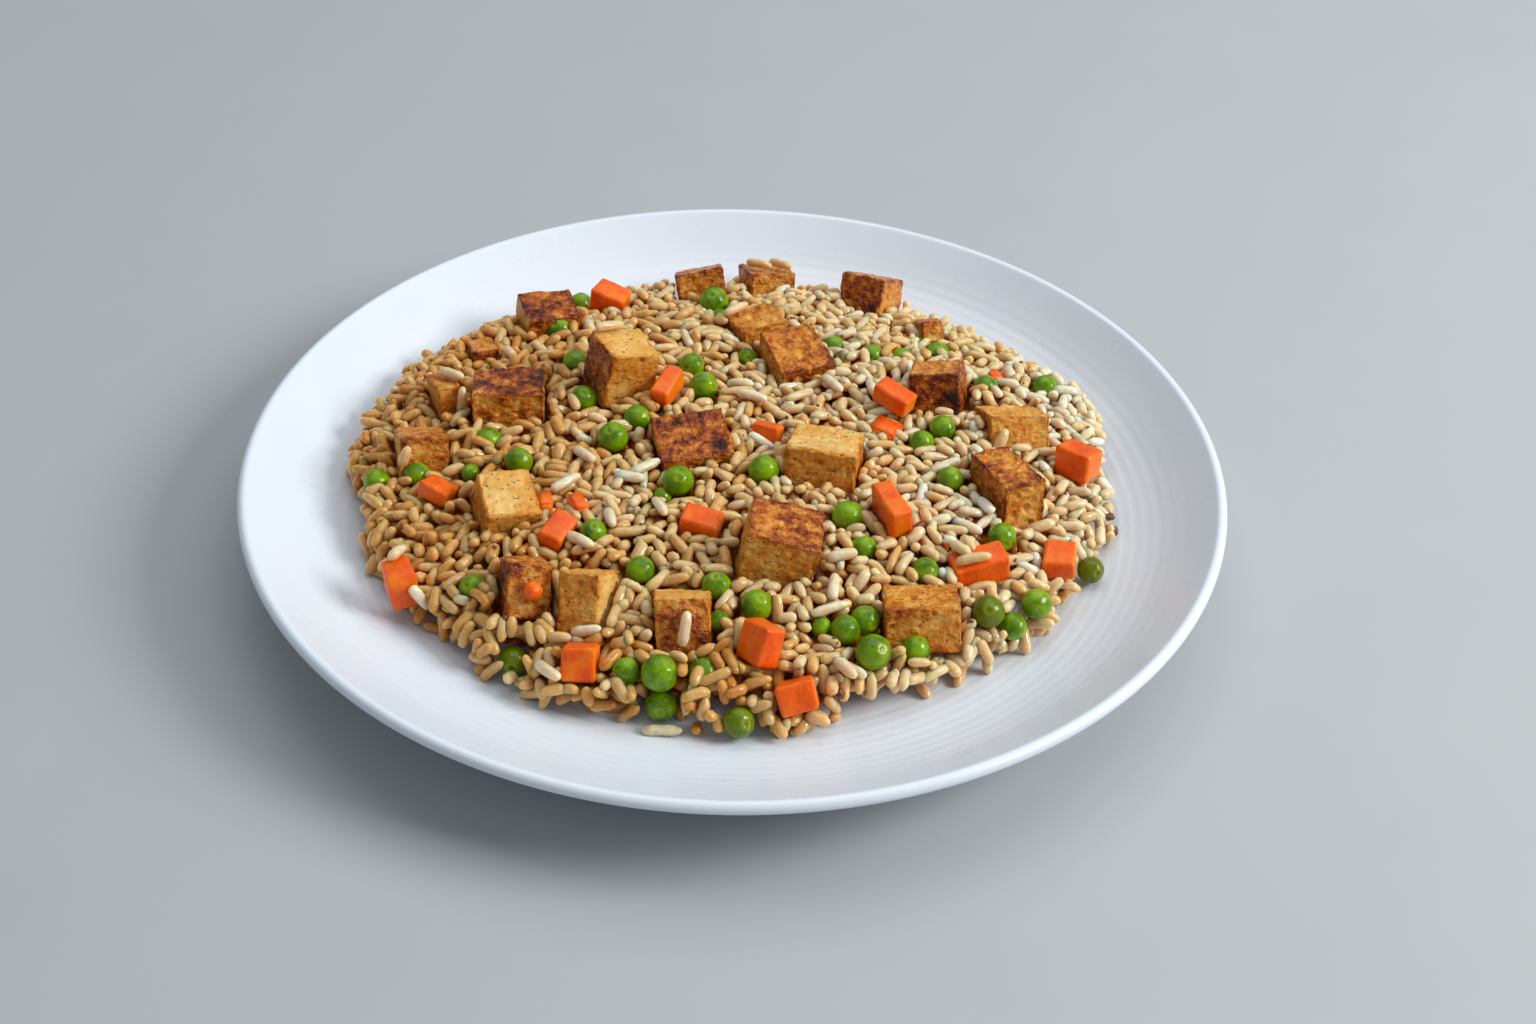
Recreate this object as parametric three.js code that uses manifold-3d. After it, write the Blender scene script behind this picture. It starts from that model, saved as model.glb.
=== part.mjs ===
// Fried rice with browned tofu, diced carrot and green peas on a white coupe plate.
// Millimetres, Z up. The origin is on the table under the middle of the plate; -Y is the diner's side.
import * as THREE from "three";
import { mergeVertices } from "three/addons/utils/BufferGeometryUtils.js";
import Module from "manifold-3d";

// Plate
const PLATE_RADIUS = 135;
const PLATE_HEIGHT = 26;
const FLOOR_RADIUS = 78;
const FLOOR_HEIGHT = 6;
const WALL_RADIUS = 133;
const WALL_HEIGHT = 25;
const WALL_CURVE = 2.4;
const PLATE_SEGMENTS = 48;

// Heap of rice
const HEAP_MIDDLE_Y = 3;
const HEAP_HALF_WIDTH = 109;
const HEAP_HALF_DEPTH = 97;
const HEAP_CROWN = 18.5;
const HEAP_EDGE = 2.4;
const EDGE_POINTS = 140;
const GRAIN_SPACING = 5.2;
const GRAIN_HALF = 2.3;
const GRAIN_RIDGE = 0.9;
const VALLEY_SPACING = 3.1;
const VALLEY_DEPTH = 1.1;
// How far the heap reaches past its ellipse every 22.5 degrees, from +X anticlockwise.
const HEAP_REACH = [
  0.98, 1.035, 1.01, 1.03, 1.045, 1.03, 1.015, 1.02, 1, 0.965, 0.965, 1, 1, 0.965, 0.95, 0.95,
];

// Clearances between separate pieces
const GAP = 0.35;

// Tofu: middle of the top face x, y, z; length, width, height; turn, lean, roll in degrees.
const TOFU = [
  [-58, 71, 28.5, 19, 17, 17, 21, 5, 6],
  [-15, 99, 25.5, 17, 16, 14.4, 8, -26, -10],
  [7, 101, 25.5, 17, 17, 13.6, 17, -16, 5],
  [40.5, 95, 27.5, 16.5, 18, 15.5, -27, -28, -6],
  [-32, 33, 41, 18, 18, 20, 28, -2, 13],
  [17, 46, 32.5, 20, 22, 17, 23, 7, 2],
  [4, 66, 29.5, 18, 17, 14, 29, -9, -2],
  [56.5, 36, 34, 17, 18, 15, -9, -18, -12],
  [-65, 24, 33, 23, 21, 19, 5, -9, 0],
  [-84, 25, 32, 9, 14, 17, 25, -8, 0],
  [-87, 4, 29, 16, 18, 15, 14, -25, 7],
  [-59.5, -26, 31, 17, 20, 17, 19, 8, 8],
  [-12, 1, 32.5, 23, 21, 17, 13, 8, -4],
  [25, -2, 35, 22, 20, 19, -11, -13, 0],
  [78, 23, 29, 20, 19, 15, 12, -24, 3],
  [74, -11, 34, 15, 23, 18, 25, -6, 1],
  [15, -43, 37.5, 22, 21, 20, -3, -3, 13],
  [-52, -52, 30, 14, 15, 17, 14, -28, 10],
  [-35.5, -55, 29.5, 14, 16, 18, -14, -34, -9],
  [-11.5, -61.5, 28.8, 17, 16, 17, 3, -32, -3],
  [49.5, -58, 27, 22, 18, 15, 2, -16, 0],
  [56, 73, 26, 9, 10, 9, 20, -30, 0],
  [-77, 54, 25, 10, 12, 9, 20, -15, 0],
];
const TOFU_BEVEL = 1;
const TOFU_WEAR = 0.7;

// Carrot dice, placed as the tofu.
const CARROT = [
  [-40, 81, 27.5, 12, 9, 9, -19, 2, 12],
  [-20.3, 23.5, 34.5, 6.5, 12.5, 8, -23, 14, 0],
  [45, 23, 34, 13, 7.5, 7, -37, -4, 9],
  [9, 9, 31, 9.5, 6, 8, -20, -20, -2],
  [-79, -17.5, 26.5, 10, 9, 6, -27, -17, 12],
  [-45, -39, 30.5, 8, 11, 7, -25, 10, 13],
  [-7.5, -33, 30.5, 11.5, 9, 8, -13, 1, 8],
  [42, -28, 35, 7.5, 16, 10, 22, 0, -4],
  [95.5, 4, 29.5, 12, 9, 10, -38, -9, -5],
  [64.5, -42, 27, 16, 10, 9, 16, -1, -10],
  [87, -35, 23.5, 9.5, 11, 7, -9, 5, -6],
  [-86, -51, 24.5, 9, 10, 12, 22, -3, -7],
  [-36, -77, 23, 10, 8, 10, -5, -28, -4],
  [10, -74, 29.5, 11.5, 8, 11.5, -52, -27, -15],
  [17, -85, 20.5, 11, 8, 9.5, 10, -35, -12],
];
const CARROT_BEVEL = 0.7;
const CARROT_WEAR = 0.6;

// Peas that stand clear of the rice: middle x, y, z and radius.
const PEAS = [
  [-51, 91, 14.5, 4.1],
  [-9, 82, 23, 4.8],
  [-10, 28.4, 28.5, 4.4],
  [-34, 3, 28, 4.5],
  [-59, -8, 27, 4.1],
  [-15, -16, 28, 4.6],
  [8, -10, 28, 4.5],
  [-36, -38, 27, 3.9],
  [-22.8, -51.5, 25.8, 4],
  [7.5, -62.5, 24.6, 4.3],
  [-54, -72, 11.3, 4.4],
  [-16, -84, 20, 5],
  [-24.6, -81, 17.4, 3.8],
  [-15.5, -86, 10.9, 4.3],
  [4, -92, 11.6, 4.3],
  [37, -75, 21, 5],
  [67, -58, 21, 4.5],
  [80, -52, 19, 4.3],
  [97, -30, 12.9, 3.9],
  [90, 44, 21, 4],
];
const PEA_FLATTENING = 0.95;

// Peas more than half buried, part of the rice solid: middle x, y, z and radius.
const BURIED_PEAS = [
  [-55, 65, 22, 4.1],
  [-48, 42, 26, 3.9],
  [-14, 41, 27, 4],
  [-44, 24, 26, 4],
  [-28, 14, 27, 3.9],
  [-69, 5, 24, 4],
  [-87, -9, 22, 3.8],
  [-98, -10, 20, 3.9],
  [31, -28, 27, 4.5],
  [35, -39, 25, 3.8],
  [-3, -56, 25, 4],
  [-5, -81, 18, 4],
  [30, -68, 22, 4],
  [35, -64, 22, 4],
  [48, -70, 18, 3.9],
  [51, -45, 23, 3.9],
  [72, -31, 24, 4.1],
  [59, -9, 26, 3.9],
  [58, 15, 26, 3.9],
  [52, 9, 25, 3.8],
  [72, 40, 23, 3.9],
  [59, 60, 21, 3.9],
  [48, 53, 23, 3.9],
  [28, 57, 24, 3.9],
  [39, 53, 24, 3.9],
  [-66, -54, 20, 3.9],
  [73.8, -57.2, 15.6, 3.8],
];

// Slivers of carrot half in the rice, part of the rice solid, placed as the tofu.
const SLIVERS = [
  [25, 97, 18, 9, 6, 5, 10, -10, 0],
  [54, 73, 22, 4, 4, 5, 30, 0, 10],
  [-41, -27, 29, 4, 7, 6, 26, 6, 0],
  [-50, -25, 28, 4, 6, 6, 10, 0, 0],
  [75, 46, 24, 4, 6, 5, 20, 0, 0],
  [42, 13, 28, 8, 7, 5, -30, 0, 5],
];

// Bead of sauce stuck to the front of one tofu cube: row number in TOFU, place on the cube, radius.
const BEAD = { row: 17, at: [0.5, -6.9, 0.6], radius: 3 };

const wasm = await Module();
wasm.setup();
const { Manifold, Mesh: SolidMesh } = wasm;

const degrees = Math.PI / 180;

// Seeded random numbers from 0 to 1.
function randomFrom(seed) {
  let state = seed;
  return function next() {
    state = (state + 0x6d2b79f5) | 0;
    let t = Math.imul(state ^ (state >>> 15), 1 | state);
    t = (t + Math.imul(t ^ (t >>> 7), 61 | t)) ^ t;
    return ((t ^ (t >>> 14)) >>> 0) / 4294967296;
  };
}

// Height of the plate's eating surface at a radius.
function plateTop(radius) {
  const t = Math.max(0, (radius - FLOOR_RADIUS) / (WALL_RADIUS - FLOOR_RADIUS));
  return FLOOR_HEIGHT + (WALL_HEIGHT - FLOOR_HEIGHT) * t ** WALL_CURVE;
}

function lathe(profile) {
  const points = profile.map(([radius, z]) => new THREE.Vector2(radius, z));
  const geometry = new THREE.LatheGeometry(points, PLATE_SEGMENTS);
  geometry.rotateX(Math.PI / 2);
  return geometry;
}

function plateGeometry() {
  const wall = [90, 100, 109, 117, 124, 129, 132.3];
  const inside = [FLOOR_RADIUS, ...wall].map((radius) => [radius, plateTop(radius)]);
  const lip = [
    [133, 25.6],
    [134, PLATE_HEIGHT],
    [PLATE_RADIUS, 24.8],
    [134.4, 22.5],
  ];
  const underside = [
    [130, 16],
    [121, 10.4],
    [108, 6],
    [94, 3.6],
    [79, 2.2],
  ];
  const foot = [
    [77.5, 0],
    [72.5, 0],
    [71, 2.2],
  ];
  return lathe([[0, FLOOR_HEIGHT], ...inside, ...lip, ...underside, ...foot, [0, 2.2]].reverse());
}

// Solid up to a clearance above the eating surface, to cut the underside of the rice.
function plateClearance() {
  const radii = [FLOOR_RADIUS, 90, 100, 109, 117, 124];
  const top = radii.map((radius) => [radius, plateTop(radius) + GAP]);
  return solidOf(lathe([[0, -9], [124, -9], ...top.reverse(), [0, FLOOR_HEIGHT + GAP]]));
}

// A geometry as a solid for joining and cutting.
function solidOf(geometry) {
  const bare = geometry.clone();
  bare.deleteAttribute("normal");
  bare.deleteAttribute("uv");
  const merged = mergeVertices(bare, 1e-4);
  return new Manifold(
    new SolidMesh({
      numProp: 3,
      vertProperties: new Float32Array(merged.attributes.position.array),
      triVerts: new Uint32Array(merged.index.array),
    }),
  );
}

function geometryOf(solid) {
  const mesh = solid.getMesh();
  const geometry = new THREE.BufferGeometry();
  geometry.setAttribute("position", new THREE.BufferAttribute(new Float32Array(mesh.vertProperties), 3));
  geometry.setIndex(new THREE.BufferAttribute(new Uint32Array(mesh.triVerts), 1));
  const flat = geometry.toNonIndexed();
  flat.computeVertexNormals();
  return flat;
}

// Where the heap's edge lies in a direction, as a part of its ellipse.
function heapReach(angle) {
  const steps = HEAP_REACH.length;
  const place = ((angle / (2 * Math.PI)) * steps + steps) % steps;
  const i = Math.floor(place);
  const t = place - i;
  const [a, b, c, d] = [-1, 0, 1, 2].map((k) => HEAP_REACH[(i + k + steps) % steps]);
  return b + 0.5 * t * (c - a + t * (2 * a - 5 * b + 4 * c - d + t * (3 * (b - c) + d - a)));
}

// 0 in the middle of the heap, 1 at its edge.
function heapPart(x, y) {
  const u = x / HEAP_HALF_WIDTH;
  const v = (y - HEAP_MIDDLE_Y) / HEAP_HALF_DEPTH;
  return Math.hypot(u, v) / heapReach(Math.atan2(v, u));
}

// Level of the rice over the table, with its low humps and hollows.
function riceLevel(x, y) {
  const part = Math.min(1, heapPart(x, y));
  const humps = Math.sin(x / 13 + 1.1) * Math.cos(y / 11 - 0.4) + 0.7 * Math.sin((x + y) / 19 + 2);
  const fullness = (1 - part ** 5) ** 0.7;
  return plateTop(Math.hypot(x, y)) + HEAP_EDGE + (HEAP_CROWN + 0.6 * humps) * fullness;
}

function edgePoint(angle) {
  const reach = heapReach(angle);
  return [
    HEAP_HALF_WIDTH * reach * Math.cos(angle),
    HEAP_MIDDLE_Y + HEAP_HALF_DEPTH * reach * Math.sin(angle),
  ];
}

// Delaunay triangles over points, anticlockwise from above.
function triangulate(points) {
  const far = 1e5;
  const all = [...points, [-far, -far], [far, -far], [0, far]];
  const circle = (a, b, c) => {
    const [ax, ay] = all[a];
    const [bx, by] = [all[b][0] - ax, all[b][1] - ay];
    const [cx, cy] = [all[c][0] - ax, all[c][1] - ay];
    const d = 2 * (bx * cy - by * cx);
    const ux = (cy * (bx * bx + by * by) - by * (cx * cx + cy * cy)) / d;
    const uy = (bx * (cx * cx + cy * cy) - cx * (bx * bx + by * by)) / d;
    return { abc: [a, b, c], x: ax + ux, y: ay + uy, rr: ux * ux + uy * uy };
  };
  const n = points.length;
  let triangles = [circle(n, n + 1, n + 2)];
  for (let p = 0; p < n; p += 1) {
    const [x, y] = all[p];
    const kept = [];
    const open = new Map();
    for (const t of triangles) {
      if ((x - t.x) ** 2 + (y - t.y) ** 2 >= t.rr) {
        kept.push(t);
        continue;
      }
      for (let k = 0; k < 3; k += 1) {
        const from = t.abc[k];
        const to = t.abc[(k + 1) % 3];
        const back = `${to},${from}`;
        if (open.has(back)) {
          open.delete(back);
        } else {
          open.set(`${from},${to}`, [from, to]);
        }
      }
    }
    for (const [from, to] of open.values()) {
      kept.push(circle(from, to, p));
    }
    triangles = kept;
  }
  return triangles.map((t) => t.abc).filter((abc) => abc.every((i) => i < n));
}

// Points of the heap's surface: its edge, buried peas, two ridge points a grain, and the valleys between.
function heapPoints(random) {
  const points = [];
  const clear = (x, y, distance) => points.every((p) => Math.hypot(p[0] - x, p[1] - y) > distance);
  for (let i = 0; i < EDGE_POINTS; i += 1) {
    const [x, y] = edgePoint((i / EDGE_POINTS) * 2 * Math.PI);
    points.push([x, y, riceLevel(x, y) + 0.9 * random() - 0.5]);
  }
  for (const [px, py, pz, radius] of BURIED_PEAS) {
    points.push([px, py, pz + radius]);
    for (const [count, out, up] of [
      [6, 0.62, 0.78],
      [8, 1, 0.1],
    ]) {
      for (let k = 0; k < count; k += 1) {
        const angle = ((k + out) / count) * 2 * Math.PI;
        const x = px + radius * out * Math.cos(angle);
        const y = py + radius * out * Math.sin(angle);
        if (heapPart(x, y) < 0.97 && clear(x, y, 1)) {
          points.push([x, y, pz + radius * up]);
        }
      }
    }
  }
  const middles = [];
  for (let tries = 0; tries < 60000; tries += 1) {
    const x = (2 * random() - 1) * 1.05 * HEAP_HALF_WIDTH;
    const y = HEAP_MIDDLE_Y + (2 * random() - 1) * 1.05 * HEAP_HALF_DEPTH;
    const turn = random() * Math.PI;
    const apart = middles.every((m) => Math.hypot(m[0] - x, m[1] - y) > GRAIN_SPACING);
    const ends = [-1, 1].map((side) => [
      x + side * GRAIN_HALF * Math.cos(turn),
      y + side * GRAIN_HALF * Math.sin(turn),
    ]);
    if (!apart || !ends.every(([ex, ey]) => heapPart(ex, ey) < 0.97 && clear(ex, ey, 2.1))) {
      continue;
    }
    middles.push([x, y]);
    const lift = GRAIN_RIDGE * (0.5 + random());
    const tip = 0.8 * (random() - 0.5);
    ends.forEach(([ex, ey], k) => points.push([ex, ey, riceLevel(ex, ey) + lift + (k ? tip : -tip)]));
  }
  for (let tries = 0; tries < 40000; tries += 1) {
    const x = (2 * random() - 1) * 1.05 * HEAP_HALF_WIDTH;
    const y = HEAP_MIDDLE_Y + (2 * random() - 1) * 1.05 * HEAP_HALF_DEPTH;
    if (heapPart(x, y) < 0.97 && clear(x, y, VALLEY_SPACING)) {
      points.push([x, y, riceLevel(x, y) - VALLEY_DEPTH * (0.5 + random())]);
    }
  }
  return points;
}

// The heap as one closed body, reaching down into the plate.
function heapSolid() {
  const random = randomFrom(4711);
  const points = heapPoints(random);
  const triangles = triangulate(points);
  const sides = triangles.flatMap(([a, b, c]) => [
    [a, b],
    [b, c],
    [c, a],
  ]);
  const used = new Set(sides.map(String));
  const rim = sides.filter(([a, b]) => !used.has(`${b},${a}`));
  for (let i = 0; i < EDGE_POINTS; i += 1) {
    const out = 1 + (1.6 * random() - 0.8) / HEAP_HALF_DEPTH;
    points[i][0] *= out;
    points[i][1] *= out;
  }
  const foot = points.length;
  const feet = new Map();
  for (const [a] of rim) {
    feet.set(a, foot + feet.size);
    points.push([points[a][0], points[a][1], 0]);
  }
  const centre = points.length;
  points.push([0, 0, -2]);
  for (const [a, b] of rim) {
    triangles.push([a, feet.get(a), b], [b, feet.get(a), feet.get(b)], [feet.get(b), feet.get(a), centre]);
  }
  const geometry = new THREE.BufferGeometry();
  geometry.setAttribute("position", new THREE.Float32BufferAttribute(points.flat(), 3));
  geometry.setIndex(triangles.flat());
  return solidOf(geometry);
}

// A cut dice with bevelled edges and worn corners, its middle at the origin.
function diceSolid(size, bevel, wear, random) {
  const corners = [];
  for (const sides of [0, 1, 2, 3, 4, 5, 6, 7].map((k) => [k & 1, k & 2, k & 4])) {
    const corner = sides.map((side, axis) => (side ? 1 : -1) * (size[axis] / 2 - wear * random()));
    for (const flush of [0, 1, 2]) {
      corners.push(corner.map((value, axis) => (axis === flush ? value : value - Math.sign(value) * bevel)));
    }
  }
  return Manifold.hull(corners);
}

// A mesh or empty set by a row: the middle of its top face lies at the row's point.
function place(object, [x, y, z, , , height, turn, lean, roll]) {
  object.rotation.set(lean * degrees, roll * degrees, turn * degrees, "ZYX");
  const down = new THREE.Vector3(0, 0, -height / 2).applyEuler(object.rotation);
  object.position.set(x, y, z).add(down);
  object.updateMatrix();
  return object;
}

function dice(name, row, bevel, wear, seed, material) {
  const solid = diceSolid(row.slice(3, 6), bevel, wear, randomFrom(seed));
  const mesh = new THREE.Mesh(geometryOf(solid), material.clone());
  mesh.name = name;
  return place(mesh, row);
}

// The room a dice takes in the rice.
function diceRoom(row) {
  const size = row.slice(3, 6).map((value) => value + 2 * GAP);
  return Manifold.cube(size, true).transform(place(new THREE.Object3D(), row).matrix.elements);
}

function ballSolid([x, y, z, radius], detail) {
  return solidOf(new THREE.IcosahedronGeometry(radius, detail).translate(x, y, z));
}

// The room a pea takes in the rice: an icosahedron that holds the pea and its clearance.
function peaRoom([x, y, z, radius]) {
  return ballSolid([x, y, z, (radius + GAP) / 0.795], 0);
}

function riceSolid() {
  const slivers = SLIVERS.map((row, i) =>
    diceSolid(row.slice(3, 6), 0.6, 0.5, randomFrom(900 + i)).transform(
      place(new THREE.Object3D(), row).matrix.elements,
    ),
  );
  const rooms = [...TOFU.map(diceRoom), ...CARROT.map(diceRoom), ...PEAS.map(peaRoom), plateClearance()];
  const cut = Manifold.union([heapSolid(), ...slivers]).subtract(Manifold.union(rooms));
  const bodies = cut.decompose().sort((a, b) => b.volume() - a.volume());
  return bodies[0].simplify(0.04);
}

const glaze = new THREE.MeshStandardMaterial({ color: 0xf2f4f5, roughness: 0.2, metalness: 0 });
const riceTone = new THREE.MeshStandardMaterial({ color: 0xc9a878, roughness: 0.5, metalness: 0 });
const tofuTone = new THREE.MeshStandardMaterial({ color: 0xb27a3c, roughness: 0.55, metalness: 0 });
const carrotTone = new THREE.MeshStandardMaterial({ color: 0xe2601c, roughness: 0.45, metalness: 0 });
const peaTone = new THREE.MeshStandardMaterial({ color: 0x5e9a22, roughness: 0.35, metalness: 0 });

const group = new THREE.Group();
group.name = "fried_rice_plate";

const plate = new THREE.Mesh(plateGeometry(), glaze);
plate.name = "plate";
group.add(plate);

const rice = new THREE.Mesh(geometryOf(riceSolid()), riceTone);
rice.name = "rice";
group.add(rice);

const numbered = (kind, i) => `${kind}_${String(i + 1).padStart(2, "0")}`;

const tofu = new THREE.Group();
TOFU.forEach((row, i) => {
  const cube = dice(numbered("tofu", i), row, TOFU_BEVEL, TOFU_WEAR, 100 + i, tofuTone);
  if (i === BEAD.row) {
    const beaded = solidOf(cube.geometry).add(ballSolid([...BEAD.at, BEAD.radius], 1));
    cube.geometry = geometryOf(beaded);
  }
  tofu.add(cube);
});
group.add(tofu);

const carrots = new THREE.Group();
CARROT.forEach((row, i) => {
  carrots.add(dice(numbered("carrot", i), row, CARROT_BEVEL, CARROT_WEAR, 300 + i, carrotTone));
});
group.add(carrots);

const peas = new THREE.Group();
PEAS.forEach(([x, y, z, radius], i) => {
  const random = randomFrom(500 + i);
  const pea = new THREE.Mesh(new THREE.IcosahedronGeometry(radius, 1), peaTone.clone());
  pea.name = numbered("pea", i);
  pea.scale.set(1, 1, PEA_FLATTENING);
  pea.rotation.set(random() - 0.5, random() - 0.5, random() * Math.PI);
  pea.position.set(x, y, z);
  peas.add(pea);
});
group.add(peas);

export default group;
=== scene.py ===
"""A plate of fried rice: browned tofu, diced carrot and green peas in a heap of loose grains.

Sizes in the classes are millimetres, meshes are metres, Z is up and -Y is the diner's side.
The heap's form, the toppings' places and the plate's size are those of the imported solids.
"""

import logging
import math
from dataclasses import dataclass, field
from enum import Enum
from itertools import product

import bmesh
import bpy
import numpy as np
from mathutils import Euler, Matrix, Vector


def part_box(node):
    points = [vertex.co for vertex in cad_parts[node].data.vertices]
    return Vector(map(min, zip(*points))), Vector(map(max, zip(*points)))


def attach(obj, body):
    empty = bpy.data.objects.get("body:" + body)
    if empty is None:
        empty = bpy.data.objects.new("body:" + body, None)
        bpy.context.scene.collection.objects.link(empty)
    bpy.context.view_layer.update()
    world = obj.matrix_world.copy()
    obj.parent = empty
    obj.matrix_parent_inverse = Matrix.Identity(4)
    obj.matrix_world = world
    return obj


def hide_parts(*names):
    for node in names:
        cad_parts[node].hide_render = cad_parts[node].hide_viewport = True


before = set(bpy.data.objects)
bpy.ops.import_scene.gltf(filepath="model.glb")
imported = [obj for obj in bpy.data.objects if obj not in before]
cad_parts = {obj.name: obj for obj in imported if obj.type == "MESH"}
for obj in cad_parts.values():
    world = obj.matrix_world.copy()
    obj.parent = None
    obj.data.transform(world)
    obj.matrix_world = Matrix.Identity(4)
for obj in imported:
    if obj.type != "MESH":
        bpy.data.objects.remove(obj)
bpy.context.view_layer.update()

MM = 0.001
BODY = "root"

log = logging.getLogger("fried_rice_plate")


# ---------------------------------------------------------------- numbers and meshes


def smooth_noise(points: np.ndarray, size: float, seed: int = 0) -> np.ndarray:
    """Smooth random values over space, from -1 to 1.

    Args:
        points: Rows of x, y, z.
        size: Width of one bump, in the points' unit.
        seed: Picks another pattern of the same kind.

    Returns:
        One value for each point.
    """
    scaled = points / size
    cell = np.floor(scaled)
    part = scaled - cell
    part = part * part * (3 - 2 * part)
    total = np.zeros(len(points))
    for corner in product((0, 1), repeat=3):
        at_corner = np.array(corner)
        weight = np.prod(np.where(at_corner == 1, part, 1 - part), axis=1)
        key = (cell + at_corner) @ np.array([127.1, 311.7, 74.7]) + 17.3 * seed
        wave = np.sin(key) * 43758.5453
        total += weight * (wave - np.floor(wave))
    return 2 * total - 1


def rough_noise(points: np.ndarray, size: float, seed: int = 0, octaves: int = 3) -> np.ndarray:
    """Smooth noise with finer and finer bumps added.

    Args:
        points: Rows of x, y, z.
        size: Width of the widest bumps.
        seed: Picks another pattern of the same kind.
        octaves: How many widths are added, each half of the last.

    Returns:
        One value for each point, about -1 to 1.
    """
    layers = [smooth_noise(points, size / 2**k, seed + 31 * k) / 2**k for k in range(octaves)]
    return sum(layers) / 1.3


def blend_step(low: float, high: float, values: np.ndarray) -> np.ndarray:
    """A smooth step from 0 at low to 1 at high."""
    part = np.clip((values - low) / (high - low), 0, 1)
    return part * part * (3 - 2 * part)


def eroded(mask: np.ndarray, steps: int) -> np.ndarray:
    """A mask with a rim of some cells taken off."""
    for _ in range(steps):
        inner = mask.copy()
        for shift in ((0, 1), (0, -1), (1, 0), (-1, 0)):
            inner &= np.roll(mask, shift, (0, 1))
        mask = inner
    return mask


def srgb(red: int, green: int, blue: int) -> tuple[float, float, float, float]:
    """A colour given as 0 to 255 screen values, as the shaders' linear values."""
    linear = [((c / 255 + 0.055) / 1.055) ** 2.4 if c > 10 else c / 3294.6 for c in (red, green, blue)]
    return (*linear, 1.0)


def mesh_object(
    name: str, points: np.ndarray, faces: list, material: bpy.types.Material
) -> bpy.types.Object:
    """A smooth-shaded mesh object from points in millimetres.

    Args:
        name: The piece's name.
        points: Rows of x, y, z in millimetres.
        faces: Lists of point numbers, anticlockwise from outside.
        material: The finish of every face.

    Returns:
        The object, linked to the scene at the origin.
    """
    mesh = bpy.data.meshes.new(name)
    mesh.from_pydata((np.asarray(points, float) * MM).tolist(), [], faces)
    mesh.shade_smooth()
    mesh.materials.append(material)
    made = bpy.data.objects.new(name, mesh)
    bpy.context.scene.collection.objects.link(made)
    return made


def mesh_points(mesh: bpy.types.Mesh) -> np.ndarray:
    """The places of a mesh's points, in millimetres."""
    flat = np.zeros(3 * len(mesh.vertices))
    mesh.vertices.foreach_get("co", flat)
    return flat.reshape(-1, 3) / MM


def mesh_normals(mesh: bpy.types.Mesh) -> np.ndarray:
    """The normals at a mesh's points."""
    flat = np.zeros(3 * len(mesh.vertices))
    mesh.vertex_normals.foreach_get("vector", flat)
    return flat.reshape(-1, 3)


def move_points(mesh: bpy.types.Mesh, points: np.ndarray) -> None:
    """Moves a mesh's points to places in millimetres."""
    mesh.vertices.foreach_set("co", (points * MM).ravel())
    mesh.update()


def mark_points(mesh: bpy.types.Mesh, name: str, values: np.ndarray) -> None:
    """Stores one number for each point of a mesh as an attribute."""
    layer = mesh.attributes.new(name, "FLOAT", "POINT")
    layer.data.foreach_set("value", np.asarray(values, np.float32))


def mark_places(mesh: bpy.types.Mesh, name: str, places: np.ndarray) -> None:
    """Stores a place for each point of a mesh, given in millimetres, as an attribute."""
    layer = mesh.attributes.new(name, "FLOAT_VECTOR", "POINT")
    layer.data.foreach_set("vector", (np.asarray(places, np.float32) * MM).ravel())


def plain_mesh(source: bpy.types.Object) -> bpy.types.Mesh:
    """The object's mesh with its modifiers applied, as a mesh of its own."""
    bpy.context.view_layer.update()
    evaluated = source.evaluated_get(bpy.context.evaluated_depsgraph_get())
    return bpy.data.meshes.new_from_object(evaluated)


def hand_over(piece: bpy.types.Object, slot: str, *nodes: str) -> None:
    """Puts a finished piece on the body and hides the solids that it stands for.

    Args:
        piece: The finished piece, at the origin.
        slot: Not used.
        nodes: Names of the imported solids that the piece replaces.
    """
    if nodes:
        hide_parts(*nodes)
    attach(piece, BODY)
    log.info("%s: %d faces", piece.name, len(piece.data.polygons))


# ---------------------------------------------------------------- finishes


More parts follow.
